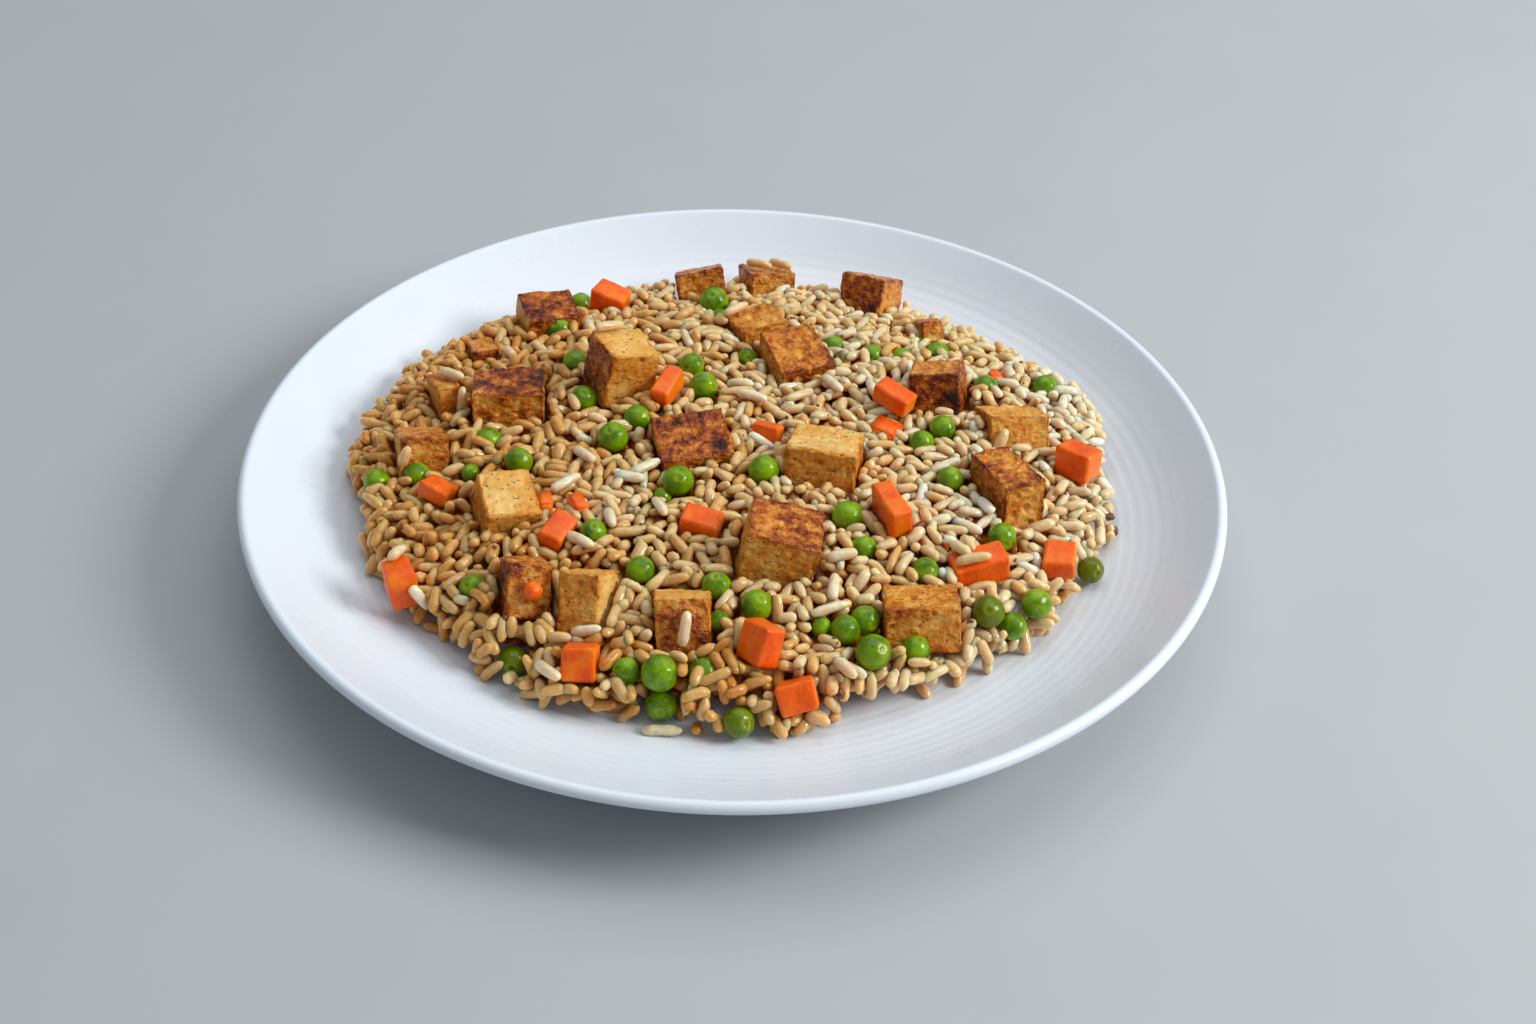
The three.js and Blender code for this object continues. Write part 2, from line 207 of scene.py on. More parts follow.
class Shader:
    """A material under construction, with its pattern on the object's own coordinates."""

    def __init__(self, name: str) -> None:
        """Starts a material with one Principled shader.

        Args:
            name: The material's name.
        """
        self.material = bpy.data.materials.new(name)
        self.material.use_nodes = True
        self.tree = self.material.node_tree
        self.surface = self.tree.nodes["Principled BSDF"]
        self.place = self.tree.nodes.new("ShaderNodeTexCoord").outputs["Object"]

    def wire(self, source: object, target: object) -> None:
        """Connects a socket to an input, or sets the input to a constant."""
        if isinstance(source, bpy.types.NodeSocket):
            self.tree.links.new(source, target)
        else:
            target.default_value = source

    def set(self, **inputs: object) -> None:
        """Sets or wires inputs of the Principled shader, named with underscores for spaces."""
        for name, value in inputs.items():
            self.wire(value, self.surface.inputs[name.replace("_", " ")])

    def stretched(self, place: bpy.types.NodeSocket, scale: tuple) -> bpy.types.NodeSocket:
        """Coordinates scaled on each axis."""
        node = self.tree.nodes.new("ShaderNodeMapping")
        node.inputs["Scale"].default_value = scale
        self.wire(place, node.inputs["Vector"])
        return node.outputs["Vector"]

    def noise(
        self, size: float, detail: float = 3, rough: float = 0.55, place: object = None
    ) -> bpy.types.NodeSocket:
        """Cloudy noise, 0 to 1.

        Args:
            size: Width of its widest patches, in millimetres.
            detail: Octaves of finer noise.
            rough: Strength of each finer octave.
            place: Coordinates to use in place of the object's own.

        Returns:
            The noise value's socket.
        """
        node = self.tree.nodes.new("ShaderNodeTexNoise")
        node.inputs["Scale"].default_value = 1 / (size * MM)
        node.inputs["Detail"].default_value = detail
        node.inputs["Roughness"].default_value = rough
        self.wire(place or self.place, node.inputs["Vector"])
        return node.outputs["Fac"]

    def cells(self, size: float) -> bpy.types.NodeSocket:
        """Distance from the middles of random cells.

        Args:
            size: Width of a cell, in millimetres.

        Returns:
            The distance's socket, about 0 to 1.
        """
        node = self.tree.nodes.new("ShaderNodeTexVoronoi")
        node.inputs["Scale"].default_value = 1 / (size * MM)
        self.wire(self.place, node.inputs["Vector"])
        return node.outputs["Distance"]

    def attribute(self, name: str, output: str = "Fac") -> bpy.types.NodeSocket:
        """A number, or with output "Vector" a place, stored on the mesh's points."""
        node = self.tree.nodes.new("ShaderNodeAttribute")
        node.attribute_name = name
        return node.outputs[output]

    def math(self, operation: str, a: object, b: object = 0.0) -> bpy.types.NodeSocket:
        """One calculation with two numbers or sockets, by Blender's name for it."""
        node = self.tree.nodes.new("ShaderNodeMath")
        node.operation = operation
        self.wire(a, node.inputs[0])
        self.wire(b, node.inputs[1])
        return node.outputs[0]

    def span(
        self, value: object, low: float, high: float, start: float = 0.0, end: float = 1.0
    ) -> bpy.types.NodeSocket:
        """Maps low..high to start..end, held at both ends."""
        node = self.tree.nodes.new("ShaderNodeMapRange")
        for name, number in (("From Min", low), ("From Max", high), ("To Min", start), ("To Max", end)):
            node.inputs[name].default_value = number
        self.wire(value, node.inputs["Value"])
        return node.outputs["Result"]

    def ramp(self, value: object, *stops: tuple) -> bpy.types.NodeSocket:
        """A colour ramp.

        Args:
            value: The socket that drives it.
            stops: Pairs of place, 0 to 1, and colour.

        Returns:
            The colour's socket.
        """
        node = self.tree.nodes.new("ShaderNodeValToRGB")
        marks = node.color_ramp.elements
        while len(marks) < len(stops):
            marks.new(0.5)
        for mark, (at, colour) in zip(marks, stops):
            mark.position = at
            mark.color = colour
        self.wire(value, node.inputs["Fac"])
        return node.outputs["Color"]

    def mix(self, share: object, a: object, b: object, kind: str = "MIX") -> bpy.types.NodeSocket:
        """Blends two colours by Blender's name for the kind of blend."""
        node = self.tree.nodes.new("ShaderNodeMix")
        node.data_type = "RGBA"
        node.blend_type = kind
        self.wire(share, node.inputs[0])
        self.wire(a, node.inputs[6])
        self.wire(b, node.inputs[7])
        return node.outputs[2]

    def gloss(self, coat: float, coat_roughness: float, specular: float = 0.5) -> None:
        """Sets the constants of the wet or glazed film on the surface."""
        self.surface.inputs["Coat Weight"].default_value = coat
        self.surface.inputs["Coat Roughness"].default_value = coat_roughness
        self.surface.inputs["Specular IOR Level"].default_value = specular

    def flesh(self, weight: float, radius: tuple, reach: float) -> None:
        """Lets light into the surface.

        Args:
            weight: Share of the light that goes in.
            radius: How far red, green and blue go, beside each other.
            reach: Their reach in millimetres.
        """
        self.surface.inputs["Subsurface Weight"].default_value = weight
        self.surface.inputs["Subsurface Radius"].default_value = radius
        self.surface.inputs["Subsurface Scale"].default_value = reach * MM

    def bump(self, height: object, depth: float) -> None:
        """Puts relief on the surface.

        Args:
            height: The socket of the relief's height, 0 to 1.
            depth: What 1 stands for, in millimetres.
        """
        node = self.tree.nodes.new("ShaderNodeBump")
        node.inputs["Distance"].default_value = depth * MM
        self.wire(height, node.inputs["Height"])
        self.set(Normal=node.outputs["Normal"], Coat_Normal=node.outputs["Normal"])


@dataclass(frozen=True)
class PorcelainFinish:
    """White glazed porcelain, a little bluish."""

    clear: tuple = srgb(231, 239, 247)
    cloudy: tuple = srgb(226, 234, 243)
    roughness: float = 0.3

    def material(self) -> bpy.types.Material:
        """The glaze as a node material."""
        shader = Shader("porcelain_glaze")
        clouds = shader.noise(34, detail=2)
        smooth, dull = self.roughness - 0.04, self.roughness + 0.05
        shader.set(
            Base_Color=shader.mix(clouds, self.clear, self.cloudy),
            Roughness=shader.span(shader.noise(9), 0.3, 0.7, smooth, dull),
        )
        shader.gloss(0.12, 0.2)
        shader.bump(shader.noise(14, detail=1), 0.02)
        return shader.material


@dataclass(frozen=True)
class GrainFinish:
    """Cooked rice, glossy with oil, brown to cream by its tone, with sauce and painted shade in the
    gaps.
    """

    # Brown of sauce and dark specks, and the painted shade in the heap's gaps.
    sauce_and_shade_brown: tuple = srgb(190, 92, 0)
    sauce: tuple = srgb(192, 122, 40)
    brown: tuple = srgb(204, 154, 82)
    beige: tuple = srgb(216, 182, 126)
    cream: tuple = srgb(226, 204, 164)
    white: tuple = srgb(242, 234, 214)
    roughness: float = 0.32

    def material(self) -> bpy.types.Material:
        """The grains' material, which reads the attribute tone and the one for sauce and painted shade.
        """
        shader = Shader("rice_grain")
        patches = shader.span(shader.noise(2.4, detail=4), 0.3, 0.7, -0.14, 0.14)
        tone = shader.math("ADD", shader.attribute("tone"), patches)
        colour = shader.ramp(
            tone,
            (0.0, self.sauce),
            (0.25, self.brown),
            (0.5, self.beige),
            (0.75, self.cream),
            (1.0, self.white),
        )
        # Painted shade, partly sauce: grains deep in the gaps and their undersides are browned.
        sauce_shaded = shader.mix(shader.attribute("stain"), colour, self.sauce_and_shade_brown)
        specks = shader.span(shader.noise(1.2, detail=4, rough=0.7), 0.69, 0.76, 0.0, 0.6)
        smooth, dull = self.roughness - 0.08, self.roughness + 0.1
        shader.set(
            Base_Color=shader.mix(specks, sauce_shaded, self.sauce_and_shade_brown),
            Roughness=shader.span(shader.noise(1.6), 0.3, 0.7, smooth, dull),
        )
        shader.gloss(1.0, 0.04, 0.0)
        shader.flesh(1.0, (1.0, 0.52, 0.12), 4.0)
        shader.bump(shader.noise(1.5, detail=2), 0.18)
        return shader.material


@dataclass(frozen=True)
class ShadedCoreFinish:
    """The rice deep between the grains, painted brown as rice in shade, with blotches the size of
    grains.
    """

    # Painted shade: the core stands in for rice in shade between the grains.
    dark: tuple = srgb(164, 78, 0)
    light: tuple = srgb(196, 112, 14)

    def material(self) -> bpy.types.Material:
        """The core's material."""
        shader = Shader("rice_core")
        shader.set(
            Base_Color=shader.mix(shader.span(shader.cells(3.0), 0.2, 0.7), self.light, self.dark),
            Roughness=shader.span(shader.noise(2.0), 0.3, 0.7, 0.4, 0.6),
        )
        shader.bump(shader.cells(2.6), 0.6)
        return shader.material


@dataclass(frozen=True)
class TofuFinish:
    """Fried tofu: pale curd through gold and red-brown to a burnt crust, by its browning."""

    curd: tuple = srgb(240, 200, 126)
    straw: tuple = srgb(228, 169, 80)
    gold: tuple = srgb(210, 126, 30)
    rust: tuple = srgb(168, 74, 10)
    umber: tuple = srgb(102, 36, 8)
    char: tuple = srgb(44, 16, 6)

    def material(self) -> bpy.types.Material:
        """The tofu's material, which reads the attributes browning, pores and own_place."""
        shader = Shader("browned_tofu")
        base = shader.attribute("browning")
        crusted = shader.span(base, 0.25, 0.55, 0.2, 1.0)
        clouds = shader.span(shader.noise(6.5, detail=3, rough=0.6), 0.3, 0.7, -0.1, 0.12)
        blotches = shader.span(shader.noise(2.6, detail=7, rough=0.74), 0.34, 0.66, -0.32, 0.3)
        mottled = shader.math("MULTIPLY", crusted, blotches)
        browning = shader.math("ADD", shader.math("ADD", base, clouds), mottled)
        colour = shader.ramp(
            browning,
            (0.05, self.curd),
            (0.26, self.straw),
            (0.46, self.gold),
            (0.66, self.rust),
            (0.84, self.umber),
            (1.0, self.char),
        )
        curd_place = shader.stretched(shader.attribute("own_place", "Vector"), (0.5, 1, 1.6))
        layers = shader.noise(1.3, detail=4, rough=0.65, place=curd_place)
        holes = shader.span(shader.cells(1.3), 0.1, 0.26, 1.0, 0.0)
        patchy = shader.span(shader.noise(2.4, detail=2), 0.46, 0.6)
        holed = shader.math("MULTIPLY", holes, patchy)
        # Pores: pits in the relief, and painted shade in the colour.
        pits_and_shade = shader.math("MULTIPLY", shader.attribute("pores"), holed)
        # The pores are painted umber: painted shade in the holes.
        shader.set(
            Base_Color=shader.mix(shader.math("MULTIPLY", pits_and_shade, 0.85), colour, self.umber),
            Roughness=shader.span(crusted, 0.3, 1.0, 0.46, 0.28),
            Coat_Weight=shader.span(crusted, 0.3, 1.0, 0.1, 0.5),
        )
        shader.surface.inputs["Coat Roughness"].default_value = 0.08
        shader.surface.inputs["Specular IOR Level"].default_value = 0.12
        shader.flesh(0.12, (1.0, 0.5, 0.2), 1.2)
        wrinkled = shader.math("MULTIPLY", shader.noise(1.2, detail=3, rough=0.6), crusted)
        relief = shader.math("ADD", wrinkled, shader.math("MULTIPLY", layers, 0.4))
        shader.bump(shader.math("SUBTRACT", relief, shader.math("MULTIPLY", pits_and_shade, 0.9)), 1.0)
        return shader.material


@dataclass(frozen=True)
class CarrotFinish:
    """Cooked carrot: moist orange, fine fibres, a few sauce specks and painted sheen on its right faces.
    """

    deep: tuple = srgb(226, 66, 0)
    bright: tuple = srgb(250, 102, 0)
    # Pale orange, also the colour of the painted sheen.
    pale: tuple = srgb(254, 148, 26)
    sauce: tuple = srgb(130, 40, 6)

    def material(self) -> bpy.types.Material:
        """The carrot's material, which reads the attributes own_place and cut, the share of painted
        sheen.
        """
        shader = Shader("cooked_carrot")
        along = shader.stretched(shader.attribute("own_place", "Vector"), (1.5, 1.5, 0.3))
        fibres = shader.noise(1.1, detail=4, rough=0.6, place=along)
        colour = shader.ramp(shader.noise(6), (0.3, self.deep), (0.55, self.bright), (0.85, self.pale))
        grains = shader.noise(0.6, detail=2)
        # Painted sheen: a pale speckle on the faces that look right, towards the window light.
        sheen_speckle = shader.span(grains, 0.35, 0.65, 0.25, 0.9)
        painted_sheen = shader.math("MULTIPLY", shader.attribute("cut"), sheen_speckle)
        streaks = shader.span(fibres, 0.42, 0.75, 0.0, 0.25)
        fibres_and_sheen = shader.mix(shader.math("MAXIMUM", streaks, painted_sheen), colour, self.pale)
        specks = shader.span(shader.noise(1.3, detail=3, rough=0.7), 0.68, 0.76, 0.0, 0.7)
        shader.set(
            Base_Color=shader.mix(specks, fibres_and_sheen, self.sauce),
            Roughness=shader.span(shader.noise(1.2), 0.3, 0.7, 0.3, 0.46),
        )
        shader.gloss(0.5, 0.12, 0.12)
        shader.flesh(0.3, (1.0, 0.35, 0.08), 2.0)
        shader.bump(shader.math("ADD", fibres, shader.math("MULTIPLY", grains, 0.8)), 0.16)
        return shader.material


@dataclass(frozen=True)
class PeaFinish:
    """A cooked pea's skin, from bright to olive green by its age."""

    bright: tuple = srgb(138, 178, 2)
    deep: tuple = srgb(60, 108, 0)
    olive: tuple = srgb(94, 100, 0)
    pale: tuple = srgb(170, 178, 20)

    def material(self) -> bpy.types.Material:
        """The peas' material, which reads the attributes age and scar."""
        shader = Shader("green_pea")
        green = shader.mix(shader.span(shader.noise(4.5), 0.32, 0.68), self.deep, self.bright)
        aged = shader.mix(shader.attribute("age"), green, self.olive)
        mottled = shader.span(shader.noise(1.6, detail=4, rough=0.6), 0.6, 0.74, 0.0, 0.5)
        marked = shader.math("MAXIMUM", shader.attribute("scar"), mottled)
        shader.set(
            Base_Color=shader.mix(marked, aged, self.pale),
            Roughness=shader.span(shader.noise(1.4), 0.3, 0.7, 0.3, 0.44),
        )
        shader.gloss(0.7, 0.03, 0.03)
        shader.flesh(0.25, (0.6, 1.0, 0.1), 2.0)
        shader.bump(shader.noise(1.6, detail=3), 0.2)
        return shader.material


@dataclass(frozen=True)
class CrumbFinish:
    """Dark crumbs of fried crust."""

    dark: tuple = srgb(74, 26, 8)
    light: tuple = srgb(160, 84, 30)

    def material(self) -> bpy.types.Material:
        """The crumbs' material."""
        shader = Shader("fried_crumb")
        shader.set(
            Base_Color=shader.mix(shader.span(shader.noise(1.5), 0.3, 0.7), self.dark, self.light),
            Roughness=shader.span(shader.noise(1.0), 0.3, 0.7, 0.3, 0.55),
        )
        shader.gloss(0.3, 0.2)
        shader.bump(shader.noise(0.5), 0.2)
        return shader.material


@dataclass(frozen=True)
class FloorFinish:
    """A plain pale grey studio floor."""

    colour: tuple = srgb(184, 187, 189)
    cloudy: tuple = srgb(180, 183, 186)

    def material(self) -> bpy.types.Material:
        """The floor's material."""
        shader = Shader("studio_floor")
        clouds = shader.noise(60, detail=2)
        shader.set(Base_Color=shader.mix(clouds, self.colour, self.cloudy), Roughness=0.7)
        return shader.material


# ---------------------------------------------------------------- plate


@dataclass
class Plate:
    """A round coupe plate with a foot ring, a thick rolled lip and faint turned rings in its wall."""

    radius: float = 135.0
    height: float = 26.0
    floor_radius: float = 78.0
    floor_height: float = 6.0
    wall_radius: float = 133.0
    wall_height: float = 25.0
    wall_curve: float = 2.4
    lip_radius: float = 1.75
    lip_roll: float = 40.0
    lip_rise: float = 1.35
    rise_start: float = 116.0
    rise_end: float = 133.5
    settle_start: float = 118.0
    ring_start: float = 84.0
    ring_end: float = 128.0
    ring_pitch: float = 3.05
    ring_depth: float = 0.03
    underside_start: float = 79.0
    underside_height: float = 2.2
    underside_curve: float = 2.05
    foot_outer: float = 76.9
    foot_inner: float = 73.1
    foot_edge: float = 0.6
    row_step: float = 0.5
    segments: int = 400

    def top(self, radius: np.ndarray) -> np.ndarray:
        """Height of the eating surface at a radius, without its rings."""
        part = np.clip((radius - self.floor_radius) / (self.wall_radius - self.floor_radius), 0, None)
        rise = self.lip_rise * blend_step(self.rise_start, self.rise_end, radius)
        return self.floor_height + (self.wall_height - self.floor_height) * part**self.wall_curve + rise

    def ring_relief(self, radius: np.ndarray) -> np.ndarray:
        """Height of the turned rings over the plain wall."""
        fade = blend_step(self.ring_start, self.ring_start + 8, radius)
        fade *= 1 - blend_step(self.ring_end - 10, self.ring_end, radius)
        turns = 2 * math.pi * radius / self.ring_pitch
        waves = np.sin(turns) + 0.4 * np.sin(2.1 * turns) + 0.5 * np.sin(0.43 * turns)
        return self.ring_depth * fade * waves

    def profile(self) -> np.ndarray:
        """The section from the middle of the eating surface round to the middle of the underside."""
        roll = math.radians(self.lip_roll)
        lip_middle = self.radius - self.lip_radius
        wall_end = lip_middle - self.lip_radius * math.sin(roll)
        floor = np.linspace(0, self.ring_start, 22)
        wall = np.arange(self.ring_start, wall_end - self.row_step / 2, self.row_step)
        spread = np.concatenate([floor[:-1], wall])
        lip_base = self.height - self.lip_radius
        drop = lip_base + self.lip_radius * math.cos(roll) - float(self.top(np.array(wall_end)))
        settle = drop * blend_step(self.settle_start, wall_end, spread)
        inside = np.column_stack([spread, self.top(spread) + self.ring_relief(spread) + settle])
        turn = np.linspace(math.pi / 2 + roll, -0.5, 18)
        lip = np.column_stack(
            [lip_middle + self.lip_radius * np.cos(turn), lip_base + self.lip_radius * np.sin(turn)]
        )
        start, base = self.underside_start, self.underside_height
        under = np.linspace(lip[-1, 0] - 0.5, start + 0.5, 44)
        part = (under - start) / (lip[-1, 0] - start)
        outside = np.column_stack([under, base + (lip[-1, 1] - base) * part**self.underside_curve])
        return np.vstack([inside, lip, outside, self.foot(), [[40, base], [0, base]]])

    def foot(self) -> np.ndarray:
        """The foot ring's section, outside to inside, with rounded edges."""
        arc = np.radians(np.linspace(0, 90, 6))
        edge = self.foot_edge
        outer = np.column_stack([self.foot_outer + edge * np.cos(arc), edge - edge * np.sin(arc)])
        inner = np.column_stack([self.foot_inner - edge * np.sin(arc), edge - edge * np.cos(arc)])
        outer_fillet = [[78.3, 2.0], [77.7, 1.4]]
        inner_fillet = [[72.2, 1.4], [71.2, 2.1]]
        return np.vstack([outer_fillet, outer, inner, inner_fillet])

    def build(self) -> bpy.types.Object:
        """Turns the section about Z and hands the plate over."""
        section = self.profile()
        angles = np.linspace(0, 2 * math.pi, self.segments, endpoint=False)
        middle = section[1:-1]
        rows = len(middle)
        points = [(0, 0, section[0, 1])]
        for angle in angles:
            cos, sin = math.cos(angle), math.sin(angle)
            points.extend(zip(middle[:, 0] * cos, middle[:, 0] * sin, middle[:, 1]))
        points.append((0, 0, section[-1, 1]))
        last = len(points) - 1
        faces = []
        for i in range(self.segments):
            here = 1 + i * rows
            there = 1 + (i + 1) % self.segments * rows
            faces.append((0, here, there))
            faces.extend((here + k, here + k + 1, there + k + 1, there + k) for k in range(rows - 1))
            faces.append((here + rows - 1, last, there + rows - 1))
        plate = mesh_object("coupe_plate", np.array(points), faces, PorcelainFinish().material())
        hand_over(plate, "glaze", "plate")
        return plate


# ---------------------------------------------------------------- toppings


@dataclass
class Block:
    """A cut dice as an upright box turned in space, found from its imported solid."""

    name: str
    middle: np.ndarray
    axes: np.ndarray
    half: np.ndarray

    @classmethod
    def from_node(cls, name: str) -> "Block":
        """Finds the box of a packed dice from its largest faces.

        Args:
            name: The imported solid's name.

        Returns:
            The box, whose axes point most to the right, to the back and up.
        """
        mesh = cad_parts[name].data
        corners = np.array([[mesh.vertices[i].co[:] for i in p.vertices] for p in mesh.polygons]) / MM
        normals = np.cross(corners[:, 1] - corners[:, 0], corners[:, 2] - corners[:, 0])
        areas = np.linalg.norm(normals, axis=1)
        normals /= areas[:, None] + 1e-12
        first = normals[areas.argmax()]
        across = np.abs(normals @ first) < 0.35
        second = normals[np.argmax(areas * across)]
        second = second - first * (second @ first)
        second /= np.linalg.norm(second)
        rough = np.array([first, second, np.cross(first, second)])
        axes = []
        for axis in rough:
            facing = normals @ axis
            strong = np.abs(facing) > 0.9
            mean = (normals[strong] * (np.sign(facing[strong]) * areas[strong])[:, None]).sum(0)
            axes.append(mean / np.linalg.norm(mean))
        order = cls.named_order(np.array(axes))
        middle = np.zeros(3)
        half = np.zeros(3)
        for k, axis in enumerate(order):
            facing = normals @ axis
            ends = []
            for side in (1, -1):
                face = np.argmax(areas * (side * facing > 0.9))
                ends.append(side * (corners[face].mean(0) @ axis))
            half[k] = (ends[0] + ends[1]) / 2
            middle += axis * (ends[0] - ends[1]) / 2
        return cls(name, middle, order, half)

    @staticmethod
    def named_order(axes: np.ndarray) -> np.ndarray:
        """Orders three axes as right, back and up, squared to each other."""
        up = axes[np.abs(axes[:, 2]).argmax()]
        up = up * np.sign(up[2])
        others = [a for a in axes if abs(a @ up) < 0.7]
        right = max(others, key=lambda a: abs(a[0]))
        right = right * np.sign(right[0])
        right = right - up * (right @ up)
        right /= np.linalg.norm(right)
        return np.array([right, np.cross(up, right), up])

    def local(self, points: np.ndarray) -> np.ndarray:
        """Places in the box's own axes, from its middle."""
        return (points - self.middle) @ self.axes.T

    def columns(self, x: np.ndarray, y: np.ndarray) -> tuple[np.ndarray, np.ndarray]:
        """Lowest and highest point of the box over places of the table; low > high beside it."""
        low = np.full(x.shape, -1e3)
        high = np.full(x.shape, 1e3)
        for axis, half in zip(self.axes, self.half):
            base = (x - self.middle[0]) * axis[0] + (y - self.middle[1]) * axis[1]
            lift = axis[2] if abs(axis[2]) > 1e-4 else 1e-4
            ends = [self.middle[2] + (side * half - base) / lift for side in (-1, 1)]
            low = np.maximum(low, np.minimum(*ends))
            high = np.minimum(high, np.maximum(*ends))
        return low, high

    def finished(
        self, mesh: bpy.types.Mesh, word: str, material: bpy.types.Material, slot: str
    ) -> bpy.types.Object:
        """Hands over a mesh that was worked from this dice.

        Args:
            mesh: The worked mesh.
            word: What was done to it, for its name.
            material: Its finish.
            slot: Not used; passed on to hand_over, which ignores it.

        Returns:
            The finished piece.
        """
        mesh.shade_smooth()
        mesh.materials.clear()
        mesh.materials.append(material)
        made = bpy.data.objects.new(f"{self.name}_{word}", mesh)
        bpy.context.scene.collection.objects.link(made)
        hand_over(made, slot, self.name)
        return made

    def on_face(
        self, face: "Face", across: float, up: float, off: float
    ) -> tuple[np.ndarray, np.ndarray]:
        """A place on one face, and the face's frame.

        Args:
            face: Which face.
            across: Millimetres from the face's middle to its right.
            up: Millimetres from the face's middle to its upper or back edge.
            off: Millimetres off the face.

        Returns:
            The place, and rows of the face's across, up and outward directions.
        """
        number, side = face.value
        outward = side * self.axes[number]
        across_axis = self.axes[0] if number else -side * self.axes[1]
        up_axis = self.axes[1] if number == 2 else self.axes[2]
        place = self.middle + outward * (self.half[number] + off) + across_axis * across + up_axis * up
        return place, np.array([across_axis, up_axis, outward])

    def fine_mesh(self, voxel: float) -> bpy.types.Mesh:
        """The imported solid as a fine, even mesh.

        Args:
            voxel: Width of its faces, in millimetres.

        Returns:
            A mesh of its own.
        """
        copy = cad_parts[self.name].data.copy()
        work = bmesh.new()
        work.from_mesh(copy)
        bmesh.ops.remove_doubles(work, verts=work.verts, dist=1e-6)
        work.to_mesh(copy)
        work.free()
        helper = bpy.data.objects.new("remesh_helper", copy)
        bpy.context.scene.collection.objects.link(helper)
        remesh = helper.modifiers.new("voxels", "REMESH")
        remesh.mode = "VOXEL"
        remesh.voxel_size = voxel * MM
        fine = plain_mesh(helper)
        bpy.data.objects.remove(helper)
        return fine


class Face(Enum):
    """The faces of a dice that show: number of its axis and the side on it."""

    LEFT = (0, -1)
    RIGHT = (0, 1)
    FRONT = (1, -1)
    TOP = (2, 1)


@dataclass(frozen=True)
class Browning:
    """How one tofu cube was fried: browning of its faces, 0 curd to 1 burnt, and its surface."""

    top: float = 0.45
    front: float = 0.45
    left: float = 0.45
    right: float = 0.45
    edge: float = 0.2
    pores: float = 0.4
    wrinkles: float = 0.4


TOFU_BROWNING = {
    "tofu_01": Browning(top=0.6, front=0.5, left=0.25, right=0.5, edge=0.35, wrinkles=0.8),
    "tofu_02": Browning(top=0.45, front=0.42, edge=0.4),
    "tofu_03": Browning(top=0.42, front=0.35, edge=0.35, pores=0.9),
    "tofu_04": Browning(top=0.42, front=0.6, right=0.38, edge=0.4, pores=0.9),
    "tofu_05": Browning(top=0.2, front=0.34, left=0.62, right=0.3, edge=0.1, pores=1.0, wrinkles=0.3),
    "tofu_06": Browning(top=0.45, front=0.45, left=0.42, right=0.75, edge=0.22, wrinkles=1.0),
    "tofu_07": Browning(top=0.4, front=0.4, edge=0.12, wrinkles=0.8),
    "tofu_08": Browning(top=0.42, front=0.68, left=0.5, right=0.7, edge=0.25, wrinkles=0.7),
    "tofu_09": Browning(top=0.66, front=0.38, left=0.4, right=0.45, edge=0.2, wrinkles=1.0),
    "tofu_10": Browning(top=0.35, front=0.36, left=0.36, edge=0.15),
    "tofu_11": Browning(top=0.42, front=0.46, left=0.3, edge=0.2, wrinkles=0.6),
    "tofu_12": Browning(top=0.16, front=0.24, left=0.42, right=0.4, edge=0.16, pores=1.0, wrinkles=0.1),
    "tofu_13": Browning(top=0.64, front=0.42, left=0.55, right=0.3, edge=0.14, wrinkles=1.1),
    "tofu_14": Browning(top=0.12, front=0.34, left=0.38, right=0.42, edge=0.12, pores=1.0, wrinkles=0.1),
    "tofu_15": Browning(top=0.28, front=0.33, left=0.38, right=0.36, edge=0.12, wrinkles=1.0),
    "tofu_16": Browning(top=0.52, front=0.28, left=0.45, right=0.4, edge=0.45, pores=0.9, wrinkles=1.0),
    "tofu_17": Browning(top=0.58, front=0.34, left=0.36, right=0.64, edge=0.16, pores=0.8, wrinkles=0.8),
    "tofu_18": Browning(top=0.5, front=0.48, left=0.68, right=0.45, edge=0.1, pores=0.8, wrinkles=0.9),
    "tofu_19": Browning(top=0.3, front=0.36, left=0.5, right=0.12, edge=0.18, pores=0.7),
    "tofu_20": Browning(top=0.25, front=0.58, left=0.5, right=0.45, edge=-0.16, wrinkles=0.7),
    "tofu_21": Browning(top=0.38, front=0.4, left=0.4, right=0.45, edge=0.12, pores=0.9, wrinkles=0.6),
    "tofu_22": Browning(top=0.4, front=0.45, edge=0.4, pores=1.0),
    "tofu_23": Browning(top=0.4, front=0.58, left=0.5, edge=0.15),
}


